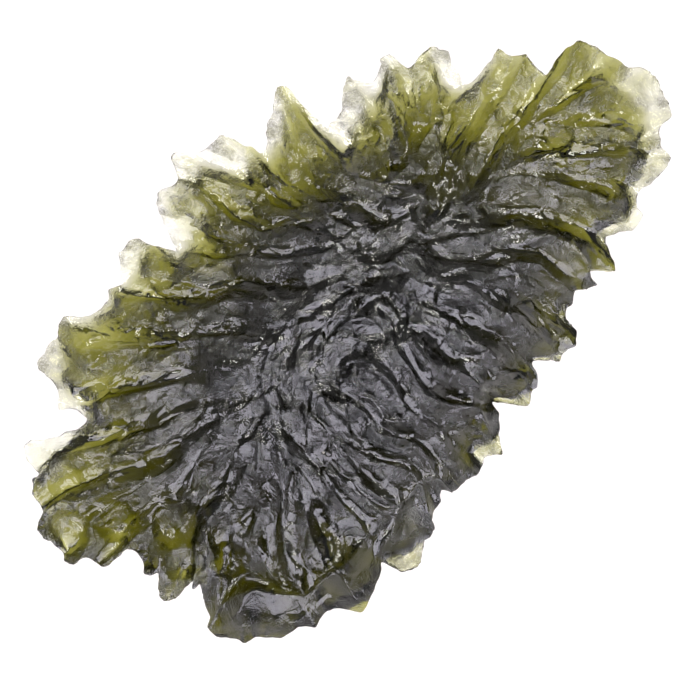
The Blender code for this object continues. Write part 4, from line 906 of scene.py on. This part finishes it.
def stone_mesh(shape):
    """The stone's two sides and the narrow broken wall between them at the rim, as one closed mesh."""
    top_step, under_step = shape.top_step / MM, shape.under_step / MM
    plain_rim = smooth_line(RIM, top_step, closed=True)
    box_middle = (plain_rim.min(axis=0) + plain_rim.max(axis=0)) / 2
    rim = crumbled(plain_rim, top_step)
    ring = np.vstack([rim, rim[:1]])
    crest_lines = UPPER_CRESTS + LOWER_CRESTS + MIDDLE_CRESTS
    flow = Crests(grid_points(), [smooth_line(line, 2 * LINE_STEP) for line in crest_lines]).flow()
    flow_grid = flow.reshape(GRID_COUNT[1], GRID_COUNT[0], 2)
    fields = (flow_grid, furrows(flow, *FINE_FURROWS), furrows(flow, *BROAD_FURROWS))
    top_lines = [smooth_line(line, top_step) for line in crest_lines]
    places, faces, skins, rings = [], [], [], []
    count = 0
    for lines, step, up in ((top_lines, top_step, True), (under_lines(under_step), under_step, False)):
        points, triangles, on_rim = plan_mesh(rim, lines, step)
        rim_distance = nearest_on_line(points, ring)[0]
        level = rim_heights(points)
        if up:
            above, skin = top_surface(points, rim_distance, shape, fields)
            heights = level + np.maximum(above, LEAST_HEIGHT)
        else:
            below, skin = under_surface(points, rim_distance, shape, fields)
            heights = np.maximum(level - np.maximum(below, LEAST_HEIGHT), 0)
            skin = skin * rise(heights, *REST_RISE)
        places.append(np.column_stack([points - box_middle, heights]))
        skins.append(skin)
        rings.append([count + k for k in on_rim])
        faces += (triangles + count if up else triangles[:, ::-1] + count).tolist()
        count += len(points)
    turns = range(len(rim))
    corners = np.vstack(places)
    wall = [rings[0]]
    for row in wall_rows(rim, corners[rings[0]], corners[rings[1]], top_step):
        places.append(row)
        skins.append(np.ones(len(rim)))
        wall.append(list(range(count, count + len(rim))))
        count += len(rim)
    wall.append(rings[1])
    for upper, lower in zip(wall, wall[1:]):
        for i in turns:
            j = (i + 1) % len(rim)
            faces.append([upper[i], upper[j], lower[j], lower[i]])
    data = bpy.data.meshes.new("moldavite_stone")
    data.from_pydata((np.vstack(places) * MM).tolist(), [], faces)
    data.attributes.new("pitted", "FLOAT", "POINT").data.foreach_set("value", np.concatenate(skins))
    data.shade_smooth()
    sharp = {tuple(sorted((ring[i], ring[i - 1]))) for ring in rings for i in turns}
    marks = [tuple(sorted(edge.vertices)) in sharp for edge in data.edges]
    data.attributes.new("sharp_edge", "BOOLEAN", "EDGE").data.foreach_set("value", marks)
    return data


def add_node(tree, kind, place, **values):
    """A node at a place on the sheet, with its plain settings."""
    node = tree.nodes.new(kind)
    node.location = place
    for name, value in values.items():
        setattr(node, name, value)
    return node


def set_inputs(node, **values):
    """Sets sockets by name, with _ for a space."""
    for name, value in values.items():
        node.inputs[name.replace("_", " ")].default_value = value


def join(tree, *wires):
    """Joins an output of a node to an input of another, for each wire."""
    for start, leaving, end, entering in wires:
        tree.links.new(start.outputs[leaving], end.inputs[entering])


def stone_glass(glass):
    """Clear olive-green glass: absorption in the depth, and a skin of fine pits and wrinkles."""
    material = bpy.data.materials.new("moldavite_glass")
    material.use_nodes = True
    tree = material.node_tree
    shader = tree.nodes["Principled BSDF"]
    output = tree.nodes["Material Output"]
    set_inputs(shader, IOR=glass.bend, Transmission_Weight=1.0)
    strongest = DENSITY_ROOM * max(glass.absorption)
    depth = add_node(tree, "ShaderNodeVolumeAbsorption", (0, -400))
    set_inputs(depth, Color=[1 - taken / strongest for taken in glass.absorption] + [1], Density=strongest)
    place = add_node(tree, "ShaderNodeTexCoord", (-1400, 0))
    pitted = add_node(tree, "ShaderNodeAttribute", (-1400, -400), attribute_name="pitted")
    patches = add_node(tree, "ShaderNodeTexNoise", (-1100, 300))
    set_inputs(patches, Scale=1 / (PATCH_SIZE * MM), Detail=2.0, Roughness=0.5)
    wrinkles = add_node(tree, "ShaderNodeTexNoise", (-1100, 0), noise_type="RIDGED_MULTIFRACTAL")
    set_inputs(wrinkles, Scale=WRINKLE_PACE / glass.pit_size, Detail=0.0, Roughness=0.5, Distortion=0.5)
    pits = add_node(tree, "ShaderNodeTexNoise", (-1100, -250))
    set_inputs(pits, Scale=1 / glass.pit_size, Detail=1.0, Roughness=0.5)
    milk = add_node(tree, "ShaderNodeTexNoise", (-1100, 600))
    set_inputs(milk, Scale=1 / (VEIL_SIZE * MM), Detail=2.0, Roughness=0.6, Distortion=0.4)
    spread = add_node(tree, "ShaderNodeMapRange", (-800, 300))
    set_inputs(spread, From_Min=PATCH_EDGE[0], From_Max=PATCH_EDGE[1], To_Min=PATCH_PITS[0],
               To_Max=PATCH_PITS[1])
    weight = add_node(tree, "ShaderNodeMath", (-600, 100), operation="MULTIPLY")
    rough = add_node(tree, "ShaderNodeMapRange", (-300, 300))
    set_inputs(rough, To_Min=glass.gloss_low, To_Max=glass.gloss_high)
    both = add_node(tree, "ShaderNodeMath", (-800, -100), operation="MULTIPLY_ADD")
    both.inputs[1].default_value = WRINKLE_SHARE
    relief = add_node(tree, "ShaderNodeMath", (-500, -100), operation="MULTIPLY")
    veil = add_node(tree, "ShaderNodeMath", (-600, 500), operation="MULTIPLY")
    clear = add_node(tree, "ShaderNodeValToRGB", (-400, 600))
    for stop, position, colour in zip(clear.color_ramp.elements, (0.0, VEIL_FULL), (CLEAR, MILKY)):
        stop.position = position
        stop.color = colour
    bump = add_node(tree, "ShaderNodeBump", (-250, -100))
    set_inputs(bump, Strength=1.0, Distance=glass.pit_depth)
    join(tree, *[(place, "Object", texture, "Vector") for texture in (patches, wrinkles, pits, milk)],
         (depth, "Volume", output, "Volume"),
         (patches, "Fac", spread, "Value"),
         (spread, "Result", weight, 0),
         (pitted, "Fac", weight, 1),
         (weight, "Value", rough, "Value"),
         (rough, "Result", shader, "Roughness"),
         (wrinkles, "Fac", both, 0),
         (pits, "Fac", both, 2),
         (both, "Value", relief, 0),
         (weight, "Value", relief, 1),
         (relief, "Value", bump, "Height"),
         (bump, "Normal", shader, "Normal"),
         (milk, "Fac", veil, 0),
         (weight, "Value", veil, 1),
         (veil, "Value", clear, "Fac"),
         (clear, "Color", shader, "Base Color"))
    return material


def pale_floor(stage):
    """A pale surface that is lit from below, as a light table is."""
    material = bpy.data.materials.new("pale_floor")
    material.use_nodes = True
    shader = material.node_tree.nodes["Principled BSDF"]
    set_inputs(shader, Base_Color=FLOOR_COLOUR, Roughness=FLOOR_ROUGHNESS, Emission_Color=FLOOR_LIGHT,
               Emission_Strength=stage.floor_glow)
    return material


def socket_id(tree, name):
    """Identifier of a named input of a node tree."""
    return next(item.identifier for item in tree.interface.items_tree if item.name == name)


def skin_tree(material):
    """Node tree that roughens the stone's skin with lumps and pits, by noise along its normals."""
    tree = bpy.data.node_groups.new("stone_skin", "GeometryNodeTree")
    tree.interface.new_socket("Geometry", in_out="INPUT", socket_type="NodeSocketGeometry")
    for name, _ in SKIN_SIZES:
        tree.interface.new_socket(name, in_out="INPUT", socket_type="NodeSocketFloat")
    tree.interface.new_socket("Geometry", in_out="OUTPUT", socket_type="NodeSocketGeometry")
    start = add_node(tree, "NodeGroupInput", (-1200, 0))
    end = add_node(tree, "NodeGroupOutput", (1000, 0))
    place = add_node(tree, "GeometryNodeInputPosition", (-1200, -300))
    normal = add_node(tree, "GeometryNodeInputNormal", (0, -500))
    pitted = add_node(tree, "GeometryNodeInputNamedAttribute", (-300, -600), data_type="FLOAT")
    pitted.inputs["Name"].default_value = "pitted"
    total = add_node(tree, "ShaderNodeMath", (-50, -100), operation="ADD")
    for k, kind in enumerate(("Lump", "Pit")):
        pace = add_node(tree, "ShaderNodeMath", (-900, -200 * k), operation="DIVIDE")
        pace.inputs[0].default_value = 1.0
        noise = add_node(tree, "ShaderNodeTexNoise", (-650, -200 * k))
        set_inputs(noise, Detail=1.0, Roughness=0.5)
        middle = add_node(tree, "ShaderNodeMath", (-450, -200 * k), operation="SUBTRACT")
        middle.inputs[1].default_value = 0.5
        deep = add_node(tree, "ShaderNodeMath", (-250, -200 * k), operation="MULTIPLY")
        join(tree, (start, kind + " size", pace, 1), (place, "Position", noise, "Vector"),
             (pace, "Value", noise, "Scale"), (noise, "Fac", middle, 0), (middle, "Value", deep, 0),
             (start, kind + " depth", deep, 1), (deep, "Value", total, k))
    held = add_node(tree, "ShaderNodeMath", (150, -200), operation="MULTIPLY")
    offset = add_node(tree, "ShaderNodeVectorMath", (350, -300), operation="SCALE")
    move = add_node(tree, "GeometryNodeSetPosition", (500, 0))
    whole = add_node(tree, "GeometryNodeRealizeInstances", (650, 0))
    finish = add_node(tree, "GeometryNodeSetMaterial", (800, 0))
    finish.inputs["Material"].default_value = material
    join(tree, (total, "Value", held, 0),
         (pitted, "Attribute", held, 1),
         (normal, "Normal", offset, "Vector"),
         (held, "Value", offset, "Scale"),
         (start, "Geometry", move, "Geometry"),
         (offset, "Vector", move, "Offset"),
         (move, "Geometry", whole, "Geometry"),
         (whole, "Geometry", finish, "Geometry"),
         (finish, "Geometry", end, "Geometry"))
    return tree


def plain_object(name, data):
    """An object at the origin that shows the mesh."""
    piece = bpy.data.objects.new(name, data)
    bpy.context.scene.collection.objects.link(piece)
    return piece


class MOLDAVITE_OT_stone(bpy.types.Operator):
    """Makes the stone: its ridged form, its roughened skin and its glass"""
    bl_idname = "moldavite.stone"
    bl_label = "Make the stone"

    def execute(self, context):
        scene = context.scene
        base = plain_object("moldavite_base", stone_mesh(scene.stone_shape))
        material = stone_glass(scene.stone_glass)
        tree = skin_tree(material)
        skin = base.modifiers.new("skin", "NODES")
        skin.node_group = tree
        for name, size in SKIN_SIZES:
            skin[socket_id(tree, name)] = size * MM
        drawn = base.evaluated_get(context.evaluated_depsgraph_get())
        data = bpy.data.meshes.new_from_object(drawn)
        bpy.data.objects.remove(base)
        data.name = "moldavite_skin"
        piece = plain_object("moldavite_skin", data)
        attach(piece, "root")
        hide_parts("moldavite")
        return {"FINISHED"}


def area_light(name, azimuth, elevation, size, glow, colour):
    """A soft rectangular light that faces the stone."""
    light = bpy.data.lights.new(name, "AREA")
    light.shape = "RECTANGLE"
    light.size, light.size_y = size
    light.energy = glow * math.pi * size[0] * size[1]
    light.color = colour
    lamp = bpy.data.objects.new(name, light)
    bpy.context.scene.collection.objects.link(lamp)
    way = Vector((math.cos(elevation) * math.cos(azimuth), math.cos(elevation) * math.sin(azimuth),
                  math.sin(elevation)))
    lamp.location = way * LIGHT_DISTANCE
    lamp.rotation_euler = (-way).to_track_quat("-Z", "Y").to_euler()


class MOLDAVITE_OT_stage(bpy.types.Operator):
    """Makes the pale floor, the soft lights and the camera"""
    bl_idname = "moldavite.stage"
    bl_label = "Make the stage"

    def execute(self, context):
        scene = context.scene
        stage = scene.stone_stage
        half = stage.floor_side / 2
        data = bpy.data.meshes.new("floor")
        data.from_pydata([(-half, -half, 0), (half, -half, 0), (half, half, 0), (-half, half, 0)], [],
                         [(0, 1, 2, 3)])
        data.materials.append(pale_floor(stage))
        plain_object("floor", data)
        key_way = math.atan2(-LEE[1], -LEE[0])
        area_light("key", key_way, stage.key_height, tuple(stage.key_size), stage.key_glow, KEY_COLOUR)
        area_light("glint", key_way + math.pi, stage.glint_height, GLINT_SIZE, stage.glint_glow,
                   GLINT_COLOUR)
        area_light("overhead", key_way + OVERHEAD_TURN, OVERHEAD_HEIGHT, OVERHEAD_SIZE, stage.overhead_glow,
                   OVERHEAD_COLOUR)
        world = bpy.data.worlds.new("room")
        world.use_nodes = True
        back = world.node_tree.nodes["Background"]
        back.inputs["Color"].default_value = ROOM_COLOUR
        path = add_node(world.node_tree, "ShaderNodeLightPath", (-600, 0))
        seen = add_node(world.node_tree, "ShaderNodeMath", (-300, 0), operation="MULTIPLY_ADD")
        seen.inputs[1].default_value = stage.backdrop_glow - stage.room_glow
        seen.inputs[2].default_value = stage.room_glow
        join(world.node_tree, (path, "Is Camera Ray", seen, 0), (seen, "Value", back, "Strength"))
        scene.world = world
        scene.view_settings.view_transform = "Standard"
        self.camera(scene)
        return {"FINISHED"}

    def camera(self, scene):
        """A camera straight above, turned so that the stone lies as in the photograph."""
        lens = bpy.data.cameras.new("camera")
        lens.lens = LENS
        lens.sensor_width = SENSOR
        lens.clip_start = NEAR_CLIP
        eye = bpy.data.objects.new("camera", lens)
        scene.collection.objects.link(eye)
        right = Vector((math.cos(TURN), -math.sin(TURN)))
        down = Vector((-math.sin(TURN), -math.cos(TURN)))
        off = [(PHOTO_SIDE / 2 - place) * PIXEL for place in PHOTO_MIDDLE]
        middle = Vector((off[0] * right.x + off[1] * right.y, off[0] * down.x + off[1] * down.y))
        distance = PHOTO_SIDE * PIXEL * LENS / SENSOR
        eye.location = (middle.x, middle.y, distance + RIM_HEIGHT * MM)
        eye.rotation_euler = (0, 0, -TURN)
        scene.camera = eye


class MOLDAVITE_PT_panel(bpy.types.Panel):
    """Lists the steps and their settings"""
    bl_idname = "MOLDAVITE_PT_panel"
    bl_label = "Moldavite"
    bl_space_type = "VIEW_3D"
    bl_region_type = "UI"
    bl_category = "Moldavite"

    def draw(self, context):
        scene = context.scene
        for step in STEPS:
            self.layout.operator(step.bl_idname)
        for group in (scene.stone_shape, scene.stone_glass, scene.stone_stage):
            box = self.layout.box()
            for name in group.__annotations__:
                box.prop(group, name)


SETTINGS = {"stone_shape": StoneShape, "stone_glass": StoneGlass, "stone_stage": StoneStage}
STEPS = (MOLDAVITE_OT_stone, MOLDAVITE_OT_stage)


def register():
    """Makes the add-on's classes and settings known."""
    for kind in (*SETTINGS.values(), *STEPS, MOLDAVITE_PT_panel):
        bpy.utils.register_class(kind)
    for name, kind in SETTINGS.items():
        setattr(bpy.types.Scene, name, bpy.props.PointerProperty(type=kind))


def unregister():
    """Takes them away again."""
    for name in SETTINGS:
        delattr(bpy.types.Scene, name)
    for kind in reversed((*SETTINGS.values(), *STEPS, MOLDAVITE_PT_panel)):
        bpy.utils.unregister_class(kind)


def main():
    """Makes everything."""
    register()
    bpy.ops.moldavite.stone()
    bpy.ops.moldavite.stage()


if __name__ == "__main__":
    main()
